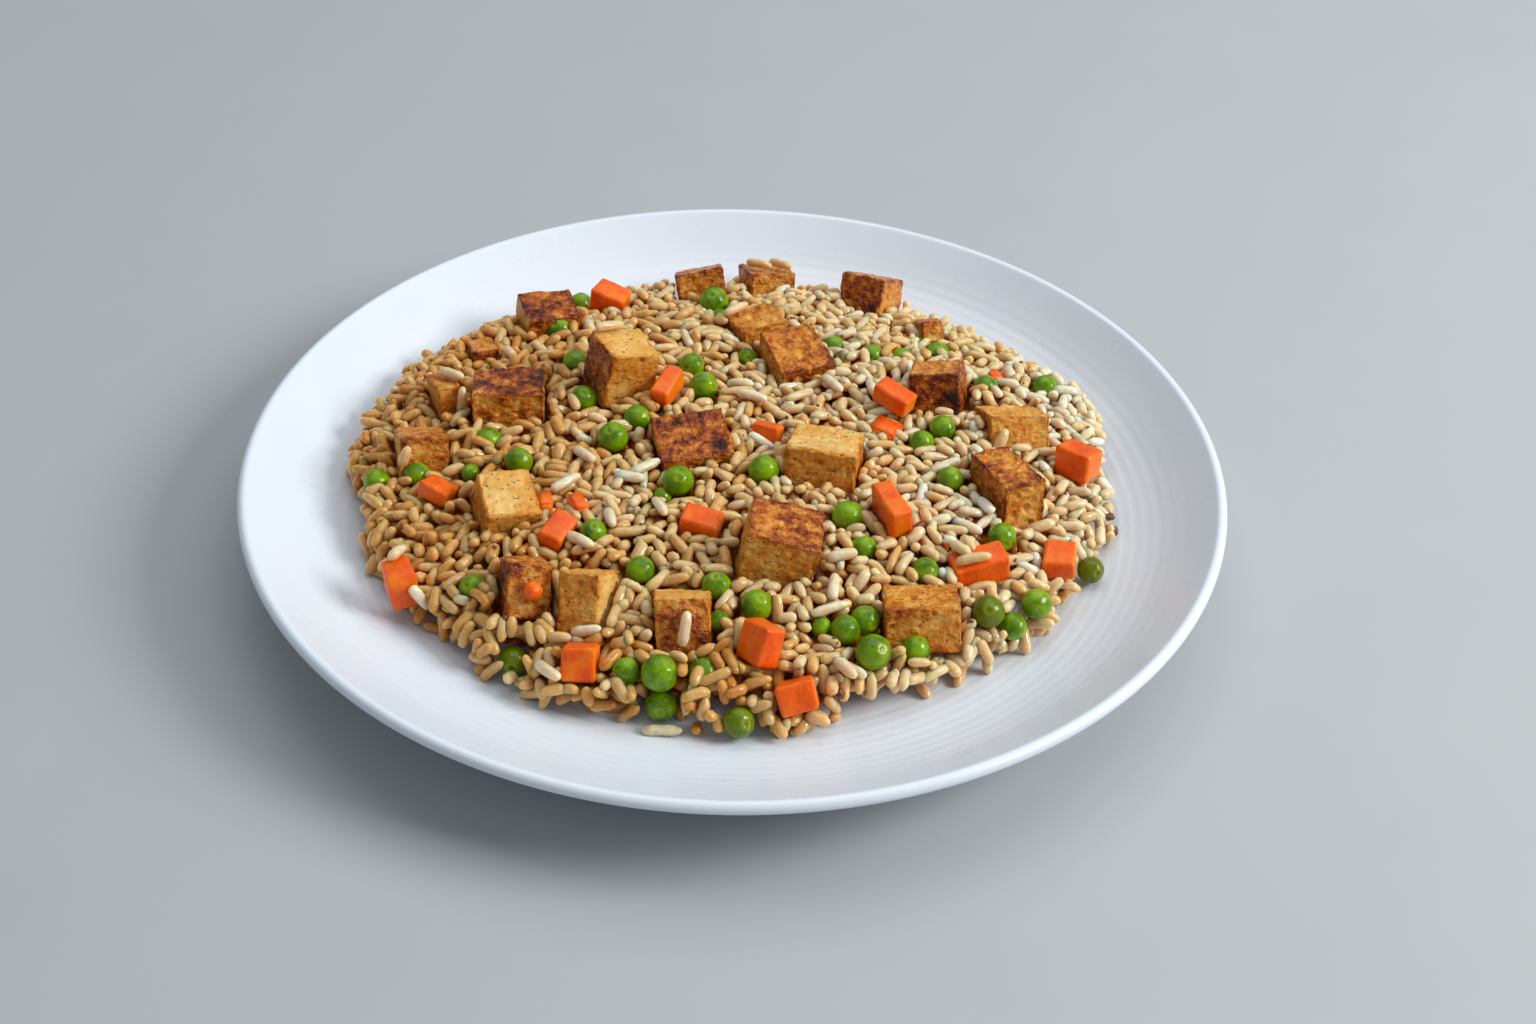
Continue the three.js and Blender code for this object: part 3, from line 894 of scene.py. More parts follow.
@dataclass
class TofuCube:
    """One fried tofu cube: sunken faces, worn edges, a wrinkled crust and pores.

    The values named back and bottom are the browning of the faces that don't show.
    """

    block: Block
    browning: Browning
    seed: int
    voxel: float = 0.48
    edge_width: float = 1.7
    sink: float = 0.6
    wear: float = 1.3
    wrinkle_depth: float = 1.1
    pore_depth: float = 0.7
    crumble: float = 0.2
    deepest: float = 2.3
    back: float = 0.4
    bottom: float = 0.35

    def face_shares(self, local: np.ndarray) -> tuple[np.ndarray, np.ndarray]:
        """How far each point belongs to each face, and its distance from the nearest edge.

        Args:
            local: Places in the cube's own axes.

        Returns:
            A column for each of left, right, front, back, bottom and top, and the distance.
        """
        half = self.block.half
        gaps = np.stack([half + local, half - local], axis=2).reshape(len(local), 6)
        gaps = np.maximum(gaps, 0)
        near = np.exp(-gaps / 0.7)
        return near / near.sum(1, keepdims=True), np.sort(gaps, axis=1)[:, 1]

    def relief(self, points: np.ndarray, edge_gap: np.ndarray) -> tuple[np.ndarray, np.ndarray]:
        """Depth of the surface under the cut box.

        Args:
            points: Places on the box.
            edge_gap: Their distance from the nearest edge.

        Returns:
            The depths in millimetres, and how high each point stands in the wrinkles, 0 to 1.
        """
        look = self.browning
        inner = 1 - np.exp(-edge_gap / self.edge_width)
        hollows = 0.5 + 0.5 * smooth_noise(points, 7.0, self.seed)
        folds = np.abs(rough_noise(points * [1, 1, 1.5], 3.6, self.seed + 3, 3))
        fine = np.abs(rough_noise(points, 1.5, self.seed + 13, 2))
        depth = self.sink * inner * (0.4 + hollows)
        depth += look.wrinkles * self.wrinkle_depth * (0.3 + 0.7 * inner) * np.sqrt(folds + 0.3 * fine)
        pits = blend_step(0.5, 0.8, smooth_noise(points, 1.8, self.seed + 17))
        depth += look.pores * self.pore_depth * pits
        nibbled = 0.55 + 0.7 * rough_noise(points, 4.5, self.seed + 29, 2)
        depth += self.wear * np.exp(-edge_gap / 1.15) * np.clip(nibbled, 0.15, 1.3)
        depth += self.crumble * (1 + rough_noise(points, 1.3, self.seed + 23, 2))
        return np.clip(depth, 0, self.deepest), 1 - np.sqrt(np.clip(folds, 0, 1))

    def build(self, material: bpy.types.Material) -> bpy.types.Object:
        """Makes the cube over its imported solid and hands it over.

        Args:
            material: The tofu's finish.

        Returns:
            The finished piece.
        """
        mesh = self.block.fine_mesh(self.voxel)
        points = mesh_points(mesh)
        local = self.block.local(points)
        shares, edge_gap = self.face_shares(local)
        depth, height = self.relief(points, edge_gap)
        look = self.browning
        faces = np.array([look.left, look.right, look.front, self.back, self.bottom, look.top])
        edge = np.exp(-edge_gap / self.edge_width)
        uneven = 0.8 + 0.5 * smooth_noise(points, 4.0, self.seed + 2)
        browning = shares @ faces + look.edge * edge * uneven
        crust = blend_step(0.3, 0.6, browning)
        browning += (0.1 + 0.12 * crust) * rough_noise(points, 5.5, self.seed + 5)
        browning += 0.25 * crust * look.wrinkles * (height - 0.45)
        move_points(mesh, points - mesh_normals(mesh) * depth[:, None])
        mark_points(mesh, "browning", np.clip(browning, 0, 1))
        # Where the pores show, as pits and as painted shade.
        mark_points(mesh, "pores", look.pores * (1 - blend_step(0.45, 0.7, browning)))
        mark_places(mesh, "own_place", local)
        return self.block.finished(mesh, "fried", material, "tofu")


@dataclass
class CarrotDice:
    """One carrot dice: crisp cut faces with soft edges, fine fibres and painted sheen on its right
    faces.
    """

    block: Block
    seed: int
    voxel: float = 0.45
    wear: float = 0.25
    fibre_depth: float = 0.09
    unevenness: float = 0.22
    # Strength of the painted sheen on the faces that look right.
    right_face_sheen: float = 0.7

    def build(self, material: bpy.types.Material) -> bpy.types.Object:
        """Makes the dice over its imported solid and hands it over.

        Args:
            material: The carrot's finish.

        Returns:
            The finished piece.
        """
        mesh = self.block.fine_mesh(self.voxel)
        points = mesh_points(mesh)
        local = self.block.local(points)
        depth = self.fibre_depth * (1 + rough_noise(local * [1, 1, 0.3], 1.6, self.seed))
        depth += self.unevenness * (1 + smooth_noise(points, 5.0, self.seed + 4))
        gaps = np.sort(self.block.half - np.abs(local), axis=1)[:, 1]
        depth += self.wear * np.exp(-np.maximum(gaps, 0) / 0.5)
        normals = mesh_normals(mesh)
        # Faces that look right, towards the light, are marked for painted sheen.
        faces_to_the_light = blend_step(0.5, 0.9, normals @ self.block.axes[0])
        move_points(mesh, points - normals * depth[:, None])
        mark_places(mesh, "own_place", local)
        mark_points(mesh, "cut", self.right_face_sheen * faces_to_the_light)
        return self.block.finished(mesh, "cut", material, "carrot")


@dataclass
class PeaSkin:
    """Makes peas: round, with shallow dents, wrinkles and the scar of the stalk."""

    detail: int = 4
    dent: float = 0.32
    wrinkle: float = 0.16
    scar_depth: float = 0.4

    def points_and_faces(self) -> tuple[np.ndarray, list]:
        """A unit sphere of even triangles."""
        work = bmesh.new()
        bmesh.ops.create_icosphere(work, subdivisions=self.detail, radius=1)
        points = np.array([v.co[:] for v in work.verts])
        faces = [[v.index for v in f.verts] for f in work.faces]
        work.free()
        return points, faces

    def shape(self, ball: np.ndarray, radius: float, seed: int) -> tuple[np.ndarray, np.ndarray]:
        """One pea's surface.

        Args:
            ball: Points of the unit sphere.
            radius: The pea's radius.
            seed: Picks its dents.

        Returns:
            The points round the pea's own middle, and how far each belongs to the scar.
        """
        random = np.random.default_rng(seed)
        stalk = random.normal(size=3) * [1, 1, 0.6] + [0.1, -0.5, 0.9]
        stalk /= np.linalg.norm(stalk)
        away = np.degrees(np.arccos(np.clip(ball @ stalk, -1, 1)))
        pit = 1 - blend_step(6, 15, away)
        ring = np.exp(-(((away - 17) / 5) ** 2))
        reach = 1 - self.dent / radius * (1 + rough_noise(ball * 4, 3.4, seed, 2)) / 2
        reach -= (self.scar_depth * pit - 0.1 * ring) / radius
        creases = 1 - np.abs(rough_noise(ball * 4, 2.4, seed + 7, 2))
        creased = blend_step(-0.1, 0.6, smooth_noise(ball * 4, 3.5, seed + 11))
        reach -= self.wrinkle / radius * creases**4 * creased
        return ball * (radius * reach)[:, None], 0.35 * ring

    def piece(self, name: str, peas: list, material: bpy.types.Material) -> bpy.types.Object:
        """Joins peas to one mesh.

        Args:
            name: The piece's name.
            peas: Rows of x, y, z, radius and age.
            material: The peas' finish.

        Returns:
            The piece, not yet handed over.
        """
        ball, faces = self.points_and_faces()
        every_point, every_face, ages, scars = [], [], [], []
        for number, (x, y, z, radius, age) in enumerate(peas):
            shaped, scar = self.shape(ball, radius, int(1000 + 7 * x + 13 * y) % 9973)
            every_point.append(shaped + [x, y, z])
            every_face.extend([[i + number * len(ball) for i in face] for face in faces])
            ages.append(np.full(len(ball), age))
            scars.append(scar)
        made = mesh_object(name, np.vstack(every_point), every_face, material)
        mark_points(made.data, "age", np.concatenate(ages))
        mark_points(made.data, "scar", np.concatenate(scars))
        return made


# ---------------------------------------------------------------- heap


# Peas more than half in the rice: middle x, y, z and radius. The first 27 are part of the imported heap.
BURIED_PEAS = [
    (-55, 65, 22, 4.1),
    (-48, 42, 26, 3.9),
    (-14, 41, 27, 4),
    (-44, 24, 26, 4),
    (-28, 14, 27, 3.9),
    (-69, 5, 24, 4),
    (-87, -9, 22, 3.8),
    (-98, -10, 20, 3.9),
    (31, -28, 27, 4.5),
    (35, -39, 25, 3.8),
    (-3, -56, 25, 4),
    (-5, -81, 18, 4),
    (30, -68, 22, 4),
    (35, -64, 22, 4),
    (48, -70, 18, 3.9),
    (51, -45, 23, 3.9),
    (72, -31, 24, 4.1),
    (59, -9, 26, 3.9),
    (58, 15, 26, 3.9),
    (52, 9, 25, 3.8),
    (72, 40, 23, 3.9),
    (59, 60, 21, 3.9),
    (48, 53, 23, 3.9),
    (28, 57, 24, 3.9),
    (39, 53, 24, 3.9),
    (-66, -54, 20, 3.9),
    (73.8, -57.2, 15.6, 3.8),
    (2, 49, 25, 3),
    (-22, -26, 25, 2.7),
    (-19, -19, 25, 2.7),
    (-7, 73, 23, 3.1),
    (-2, -67, 23, 2.8),
    (-72, -10, 24, 2.8),
    (24, -67, 22, 2.8),
    (55, 67, 20, 2.7),
]

# Share of a pea's radius within which no grain is laid.
STANDING_REACH = 0.8
BURIED_REACH = 0.62

# Slivers of carrot half in the rice: middle of the top face, size, and turn, lean and roll in degrees.
SLIVERS = [
    (25, 97, 18, 9, 6, 5, 10, -10, 0),
    (54, 73, 22, 4, 4, 5, 30, 0, 10),
    (-41, -27, 29, 4, 7, 6, 26, 6, 0),
    (-50, -25, 28, 4, 6, 6, 10, 0, 0),
    (75, 46, 24, 4, 6, 5, 20, 0, 0),
    (42, 13, 28, 8, 7, 5, -30, 0, 5),
]


@dataclass
class Heap:
    """The heap's outline on the plate and the level of its rice."""

    plate: Plate
    middle_y: float = 3.0
    half_width: float = 109.0
    half_depth: float = 97.0
    crown: float = 18.5
    edge: float = 2.4
    # How far the heap and, finer, its outermost grains reach past the ellipse, in even steps from +X.
    reach: tuple = (
        0.98, 1.035, 1.01, 1.03, 1.045, 1.03, 1.015, 1.02,
        1, 0.965, 0.965, 1, 1, 0.965, 0.95, 0.95,
    )  # fmt: skip
    bites: tuple = (
        0.975, 0.98, 1.03, 1.03, 1.02, 1.02, 1.03, 1.04,
        1.045, 1.04, 1.03, 1.02, 1.02, 1.02, 1.01, 1.005,
        1.0, 0.94, 0.98, 0.94, 0.97, 0.99, 1.015, 0.985,
        1.01, 1.0, 0.965, 0.965, 0.945, 0.965, 0.93, 0.99,
    )  # fmt: skip

    @staticmethod
    def reach_at(reach: tuple, angle: np.ndarray) -> np.ndarray:
        """How far the heap reaches past its ellipse in a direction, on a smooth closed curve."""
        steps = len(reach)
        place = (angle / (2 * math.pi) * steps) % steps
        whole = np.floor(place).astype(int)
        t = place - whole
        a, b, c, d = (np.take(reach, (whole + k) % steps) for k in (-1, 0, 1, 2))
        return b + 0.5 * t * (c - a + t * (2 * a - 5 * b + 4 * c - d + t * (3 * (b - c) + d - a)))

    def part(self, x: np.ndarray, y: np.ndarray, bitten: bool = False) -> np.ndarray:
        """0 in the heap's middle, 1 at its edge or, if bitten, at the ends of its outermost grains."""
        u = x / self.half_width
        v = (y - self.middle_y) / self.half_depth
        return np.hypot(u, v) / self.reach_at(self.bites if bitten else self.reach, np.arctan2(v, u))

    def level(self, x: np.ndarray, y: np.ndarray) -> np.ndarray:
        """Level of the rice over the table."""
        part = np.minimum(1, self.part(x, y))
        humps = np.sin(x / 13 + 1.1) * np.cos(y / 11 - 0.4) + 0.7 * np.sin((x + y) / 19 + 2)
        fullness = (1 - part**5) ** 0.7
        return self.plate.top(np.hypot(x, y)) + self.edge + (self.crown + 0.6 * humps) * fullness


class GrainKind(Enum):
    """The shapes of grains: length, width, thickness, bend, pinch and share of the heap."""

    LONG = (8.8, 2.95, 2.7, 0.15, 0.0, 0.28)
    BENT = (7.9, 3.0, 2.75, 0.5, 0.04, 0.27)
    STUBBY = (5.8, 3.0, 2.8, 0.1, 0.0, 0.25)
    SWOLLEN = (6.9, 3.25, 2.9, 0.2, 0.09, 0.20)

    def __init__(
        self, length: float, width: float, thick: float, bend: float, pinch: float, share: float
    ) -> None:
        """Names the numbers of a shape."""
        self.length = length
        self.width = width
        self.thick = thick
        self.bend = bend
        self.pinch = pinch
        self.share = share

    def mesh(self) -> bpy.types.Mesh:
        """One grain along X round the origin, with blunt ends and few faces."""
        sides = 8
        stations = (-0.97, -0.85, -0.5, 0.0, 0.5, 0.85, 0.97)
        tip = 1.1 * self.width / self.length
        points = [(-self.length / 2, 0, -self.bend)]
        for t in stations:
            into_end = max(0.0, (abs(t) - 1 + tip) / tip)
            girth = math.sqrt(1 - into_end**2) * (1 - 0.07 * t - 0.06 * t * t)
            girth *= 1 - self.pinch * math.exp(-((t - 0.1) ** 2) / 0.08)
            for k in range(sides):
                angle = 2 * math.pi * k / sides
                across = girth * self.width / 2 * math.cos(angle)
                upward = girth * self.thick / 2 * math.sin(angle) - self.bend * t * t
                points.append((t * self.length / 2, across, upward))
        points.append((self.length / 2, 0, -self.bend))
        last = len(points) - 1
        faces = [(0, 1 + (k + 1) % sides, 1 + k) for k in range(sides)]
        for ring in range(len(stations) - 1):
            low = 1 + ring * sides
            for k in range(sides):
                after = (k + 1) % sides
                faces.append((low + k, low + after, low + sides + after, low + sides + k))
        top = last - sides
        faces.extend((top + k, top + (k + 1) % sides, last) for k in range(sides))
        mesh = bpy.data.meshes.new(f"grain_{self.name.lower()}")
        mesh.from_pydata((np.array(points) * MM + [0, 0, self.bend * MM / 3]).tolist(), [], faces)
        return mesh


@dataclass
class Grain:
    """One grain as it lies: its middle, XYZ turns, scale along its axes, kind and tone."""

    x: float
    y: float
    z: float
    turns: tuple
    scale: tuple
    kind: GrainKind
    tone: float


# Pale grains that stand out on top of the heap: x, y, turn and pitch in degrees, tone.
TOP_GRAINS = [
    (-59, 11, -23, 4, 0.80),
    (-41, -6, -49, 8, 0.82),
    (-45, -19, 43, 3, 0.86),
    (-28, -15, -16, 6, 0.88),
    (-24, -11, 40, 0, 0.86),
    (-32, -33, -77, 10, 0.80),
    (-39, -43, -37, 5, 0.78),
    (-19, -29, -70, 12, 0.82),
    (4, 23, -23, 3, 0.86),
    (27, 31, -58, 5, 0.84),
    (42, 24, -63, 8, 0.80),
    (36, -5, -70, 9, 0.72),
    (58, -4, 31, 6, 0.88),
    (63, -5, 81, 12, 0.90),
    (68, -20, -70, 16, 1.00),
    (29, -46, 16, 5, 0.76),
    (26, -64, 23, 4, 0.80),
    (27, -57, 84, 10, 0.82),
    (-44, -82, -43, 4, 0.78),
    (30, -81, -58, 8, 0.76),
    (81, -50, -49, 10, 0.86),
    (-15, -92, 0, 3, 0.80),
]

# Where many grains are paler or browner: x, y, reach and change of tone.
TONE_PATCHES = [
    (93, 35, 10, 0.26),
    (-31, -20, 14, 0.16),
    (-80, -29, 12, 0.12),
    (29, 38, 20, 0.10),
    (62, -12, 16, 0.12),
    (60, -68, 14, 0.10),
    (21, 92, 16, 0.06),
    (2, -84, 15, -0.24),
    (-51, -16, 10, -0.16),
    (-77, -38, 12, -0.16),
    (-34, -79, 12, -0.14),
    (-80, 50, 20, -0.12),
    (80, 80, 14, -0.10),
]


@dataclass(frozen=True)
class GrainTones:
    """How pale the grains are, 0 brown to 1 white: by place, chance, and depth as painted shade."""

    middle: float = 0.48
    spread: float = 0.09
    slope: float = 0.0022
    depth_shade: float = 0.02
    pale_share: float = 0.08
    paler: float = 0.2
    brown_share: float = 0.07
    browner: float = 0.18

    def pick(self, random: np.random.Generator, x: float, y: float, depth: float) -> float:
        """Picks the tone of one grain.

        Args:
            random: The draw of chance.
            x: The grain's place.
            y: The grain's place.
            depth: How far it lies below the heap's level.

        Returns:
            Its tone.
        """
        tone = self.middle + self.spread * random.normal() + self.slope * x
        # Painted shade, partly sauce: grains deeper than 1 mm are darker.
        tone -= self.depth_shade * max(0, depth - 1.0)
        lot = random.random()
        if lot < self.pale_share:
            tone += self.paler
        elif lot > 1 - self.brown_share:
            tone -= self.browner
        for patch_x, patch_y, reach, change in TONE_PATCHES:
            away = math.hypot(x - patch_x, y - patch_y)
            tone += change * math.exp(-((away / reach) ** 2))
        return float(np.clip(tone, 0.02, 0.98))


@dataclass(frozen=True)
class Shadow:
    """The cells round one grain: which lie under it, and its two sides' heights from its middle."""

    patch: tuple
    under: np.ndarray
    lower: np.ndarray
    upper: np.ndarray


@dataclass
class GrainBed:
    """Lays grains on the core and the plate, one after the other, until the heap is full.

    The gaps say how far the heap may stay below its level under the toppings, in the open and,
    for the grains that are pushed in beside a topping, in what is left.
    """

    heap: Heap
    blocks: dict
    peas: list
    tones: GrainTones = GrainTones()
    cell: float = 0.4
    half_span: float = 124.0
    edge_room: float = 0.022
    rim: float = 2.2
    cover: float = 7.4
    edge_drop: float = 8.0
    sink: float = 1.8
    slope_reach: float = 2.4
    slope_share: float = 0.75
    pitch_spread: float = 24.0
    most_pitch: float = 1.1
    steep_share: float = 0.24
    steep_pitch: tuple = (42, 78)
    lumps: float = 1.1
    raggedness: float = 0.012
    # Depths over which sauce and painted shade fill in, and the painted shade on the grains' undersides.
    stain_start: float = -0.8
    stain_end: float = 2.3
    underside: float = 0.24
    size_spread: tuple = (0.1, 0.06, 0.06)
    top_scale: float = 1.06
    resting_share: float = 0.68
    proud: float = 0.5
    proud_spread: float = 0.55
    covered_gap: float = 1.6
    open_gap: float = 0.7
    narrow_gap: float = 2.2
    narrow_squeeze: float = 0.3
    batch: int = 700
    patience: int = 8
    seed: int = 20
    grains: list = field(default_factory=list)

    def __post_init__(self) -> None:
        """Sets up the table's cells, the plate, the core and what stands in the way."""
        self.random = np.random.default_rng(self.seed)
        line = np.arange(-self.half_span, self.half_span, self.cell)
        self.x, self.y = np.meshgrid(line, line)
        self.plate_level = self.heap.plate.top(np.hypot(self.x, self.y))
        spots = np.column_stack([self.x.ravel(), self.y.ravel(), np.zeros(self.x.size)])
        ragged = self.raggedness * smooth_noise(spots, 12.0, 3)
        ragged += self.raggedness * smooth_noise(spots, 4.5, 4)
        part = self.heap.part(self.x, self.y, bitten=True) + ragged.reshape(self.x.shape)
        self.goal = self.heap.level(self.x, self.y)
        self.goal += self.lumps * rough_noise(spots, 9.0, 8, 2).reshape(self.x.shape)
        self.goal += self.rim * blend_step(0.8, 0.93, part)
        self.goal[part > 1 - self.edge_room] = -10
        self.terrain = np.maximum(self.plate_level, self.core_top(self.x, self.y))
        self.blocked = np.zeros(self.x.shape, bool)
        self.ceiling = np.full(self.x.shape, 1e3)
        self.domes = np.full(self.x.shape, -1e3)
        self.owner = np.full(self.x.shape, -1)
        for block in self.blocks.values():
            low, high = block.columns(self.x, self.y)
            self.blocked |= (low < high) & (low < self.goal + 1.2) & (high > self.goal - 5)
            self.ceiling = np.where(low < high, np.minimum(self.ceiling, low), self.ceiling)
        for x, y, z, radius, reach in self.peas:
            away = np.hypot(self.x - x, self.y - y)
            self.blocked |= away < radius * reach
            half = np.sqrt(np.clip(radius**2 - away**2, 0, None))
            self.domes = np.where(away < radius, np.maximum(self.domes, z + half - 0.3), self.domes)
            self.ceiling = np.where(away < radius, np.minimum(self.ceiling, z - half), self.ceiling)
            if reach > BURIED_REACH:
                self.clear_view(x, y, z, radius)
        self.blocked = eroded(self.blocked, 1)

    def clear_view(self, x: float, y: float, z: float, radius: float) -> None:
        """Keeps the heap low on the diner's side of a pea that stands on it.

        The grains stay below a plane that falls from the pea's lower half along the diner's view.

        Args:
            x: The pea's middle.
            y: The pea's middle.
            z: The pea's middle.
            radius: The pea's radius.
        """
        forward = y - self.y
        sideways = np.clip(np.abs(self.x - x) - radius, 0, None)
        rise = 0.72 * np.clip(forward - 0.5 * radius, 0, None)
        limit = z - 0.45 * radius + rise + 2.5 * sideways
        near = (forward > -0.2 * radius) & (forward < 14)
        self.goal[near] = np.minimum(self.goal, limit)[near]

    def core_top(self, x: np.ndarray, y: np.ndarray) -> np.ndarray:
        """Level of the core under the loose grains, lower towards the heap's edge."""
        drop = self.edge_drop * blend_step(0.7, 0.88, self.heap.part(x, y))
        return self.heap.level(x, y) - self.cover - drop

    def spot(self, x: float, y: float) -> tuple[int, int]:
        """Row and column of the table's cell at a place."""
        return int((y + self.half_span) / self.cell), int((x + self.half_span) / self.cell)

    def ground(self, x: float, y: float) -> float:
        """Height of what lies so far at a place."""
        return float(self.terrain[self.spot(x, y)])

    def pick_pitch(self, x: float, y: float, turn: float) -> float:
        """A pitch for a grain: that of the slope under it with some spread, or steep."""
        random = self.random
        if random.random() < self.steep_share:
            return float(random.choice((-1, 1)) * math.radians(random.uniform(*self.steep_pitch)))
        along = np.array([math.cos(turn), math.sin(turn)]) * self.slope_reach
        rise = self.ground(x + along[0], y + along[1]) - self.ground(x - along[0], y - along[1])
        pitch = self.slope_share * math.atan(np.clip(rise / (2 * self.slope_reach), -1, 1))
        pitch += math.radians(self.pitch_spread) * random.normal()
        return float(np.clip(pitch, -self.most_pitch, self.most_pitch))

    def shadow(self, x: float, y: float, turn: float, pitch: float, halves: np.ndarray) -> Shadow:
        """The shadow of a grain, taken as an ellipsoid.

        Args:
            x: Place of its middle.
            y: Place of its middle.
            turn: Its turn about Z.
            pitch: How far its front end is raised.
            halves: Half its length, width and thickness.

        Returns:
            Its shadow.
        """
        a, b, c = halves
        cos_turn, sin_turn = math.cos(turn), math.sin(turn)
        cos_pitch, sin_pitch = math.cos(pitch), math.sin(pitch)
        span = int(math.ceil(a / self.cell)) + 1
        row, column = self.spot(x, y)
        patch = (slice(row - span, row + span + 1), slice(column - span, column + span + 1))
        dx = self.x[patch] - x
        dy = self.y[patch] - y
        along = dx * cos_turn + dy * sin_turn
        across = dy * cos_turn - dx * sin_turn
        flat = cos_pitch**2 / a**2 + sin_pitch**2 / c**2
        shear = sin_pitch * cos_pitch * (1 / a**2 - 1 / c**2)
        steep = sin_pitch**2 / a**2 + cos_pitch**2 / c**2
        room = (shear * along) ** 2 - steep * (flat * along**2 + (across / b) ** 2 - 1)
        under = room > 0
        root = np.sqrt(np.where(under, room, 0))
        return Shadow(patch, under, (-shear * along - root) / steep, (-shear * along + root) / steep)

    def lay(
        self,
        x: float,
        y: float,
        turn: float,
        pitch: float,
        kind: GrainKind,
        tone: float | None = None,
        squeeze: float = 0.06,
        beneath: bool = False,
    ) -> bool:
        """Lets one grain down at a place, if there is room.

        Args:
            x: Place of its middle.
            y: Place of its middle.
            turn: Its turn about Z.
            pitch: How far its front end is raised.
            kind: Its shape.
            tone: How pale it is, or None for a tone that suits its place; a grain with a tone is
                laid on top, however high it comes.
            squeeze: Share of its shadow that may lie under or in a topping.
            beneath: Whether it is one of those that lie under the toppings.

        Returns:
            Whether it was laid.
        """
        random = self.random
        scale = np.clip(1 + np.array(self.size_spread) * random.normal(size=3), 0.8, 1.2)
        if tone is not None:
            scale = scale / scale.mean() * self.top_scale
        halves = np.array([kind.length, kind.width, kind.thick]) / 2 * scale
        shadow = self.shadow(x, y, turn, pitch, halves)
        patch = shadow.patch
        blocked = self.blocked[patch] & (not beneath)
        if (blocked & shadow.under).sum() > squeeze * shadow.under.sum():
            return False
        free = shadow.under & ~blocked
        terrain = self.terrain[patch]
        rests = (terrain - shadow.lower)[free]
        if len(rests) < 8:
            return False
        rank = int(self.resting_share * len(rests))
        z = max(float(np.partition(rests, rank)[rank]), float(rests.max()) - self.sink)
        z = max(z, float((self.plate_level[patch] - shadow.lower)[free].max()) + 0.02)
        goal = self.goal[self.spot(x, y)]
        high = z + 0.6 * halves[2] + 0.35 * halves[0] * abs(math.sin(pitch))
        if tone is None and high > goal + random.normal(self.proud, self.proud_spread):
            return False
        if beneath and (z + shadow.upper > self.ceiling[patch] + 0.2)[free].any():
            return False
        level = np.where(free, z + shadow.upper, -1e3)
        raised = level > terrain
        terrain[raised] = level[raised]
        self.owner[patch][raised] = len(self.grains)
        turns = (random.uniform(-0.6, 0.6), -pitch, turn)
        shown = self.tones.pick(random, x, y, goal - z) if tone is None else tone
        self.grains.append(Grain(x, y, z, turns, tuple(scale), kind, shown))
        return True

    def settle(self) -> list:
        """Lays grains under the toppings, then until the heap is full, then the pale ones on top.

        Returns:
            The grains that show.
        """
        covered = self.ceiling < 1e3
        lowest = np.minimum(self.goal, self.ceiling - 0.3)
        self.fill(lowest, covered & ~eroded(covered, 12), self.covered_gap, beneath=True)
        self.terrain = np.maximum(self.terrain, self.domes)
        self.fill(self.goal, ~self.blocked, self.open_gap)
        self.fill(self.goal, ~self.blocked, self.narrow_gap, squeeze=self.narrow_squeeze)
        for x, y, turn, pitch, tone in TOP_GRAINS:
            self.lay(x, y, math.radians(turn), math.radians(pitch), GrainKind.LONG, tone)
        return self.showing()

    def fill(
        self,
        top: np.ndarray,
        where: np.ndarray,
        shortfall: float,
        squeeze: float = 0.06,
        beneath: bool = False,
    ) -> None:
        """Lays grains where the heap is further below a level than it may be.

        Args:
            top: The level.
            where: The cells that count.
            shortfall: How far below the level the heap may stay.
            squeeze: Share of a grain's shadow that may lie under or in a topping.
            beneath: Whether the grains lie under the toppings.
        """
        random = self.random
        kinds = list(GrainKind)
        shares = [kind.share for kind in kinds]
        tried = np.zeros(self.x.shape, np.int16)
        for _ in range(400):
            wanting = np.flatnonzero((top - self.terrain > shortfall) & where & (tried < self.patience))
            if len(wanting) < 40:
                return
            for place in random.choice(wanting, size=min(self.batch, len(wanting) // 4 + 1)):
                row, column = divmod(int(place), self.x.shape[1])
                x, y = self.x[row, column], self.y[row, column]
                turn = random.uniform(0, 2 * math.pi)
                kind = random.choice(kinds, p=shares) if squeeze < 0.1 else GrainKind.STUBBY
                pitch = self.pick_pitch(x, y, turn)
                if not self.lay(x, y, turn, pitch, kind, squeeze=squeeze, beneath=beneath):
                    tried[row - 1 : row + 2, column - 1 : column + 2] += 1

    def showing(self) -> list:
        """The grains that can be seen, or that lie near the surface."""
        seen = np.bincount(self.owner[self.owner >= 0], minlength=len(self.grains))
        return [
            grain
            for grain, cells in zip(self.grains, seen)
            if cells > 0 or self.goal[self.spot(grain.x, grain.y)] - grain.z < 3.4
        ]

    def surface(self, reach: float = 2.6) -> np.ndarray:
        """The heap's level with the gaps between the grains evened out."""
        width = int(reach / self.cell)
        level = self.terrain.copy()
        for axis in (0, 1):
            margins = [(width + 1, width) if k == axis else (0, 0) for k in (0, 1)]
            total = np.cumsum(np.pad(level, margins, "edge"), axis)
            count = 2 * width + 1
            upper = np.take(total, range(count, total.shape[axis]), axis)
            lower = np.take(total, range(total.shape[axis] - count), axis)
            level = (upper - lower) / count
        return level

    def cell_numbers(self, places: np.ndarray) -> np.ndarray:
        """Rows or columns of the cells at places along one axis, held within the table."""
        return np.clip(((places + self.half_span) / self.cell).astype(int), 0, len(self.x) - 1)

    def stain_at(self, points: np.ndarray, normals: np.ndarray, level: np.ndarray) -> np.ndarray:
        """How far the grains are browned, 0 on tops to 1 in the heap's gaps: sauce and painted shade.

        Args:
            points: Places on the grains.
            normals: The surface's directions there.
            level: The heap's evened-out level.

        Returns:
            One share for each place.
        """
        depth = level[self.cell_numbers(points[:, 1]), self.cell_numbers(points[:, 0])] - points[:, 2]
        inner = 1 - 0.8 * blend_step(0.84, 0.95, self.heap.part(points[:, 0], points[:, 1]))
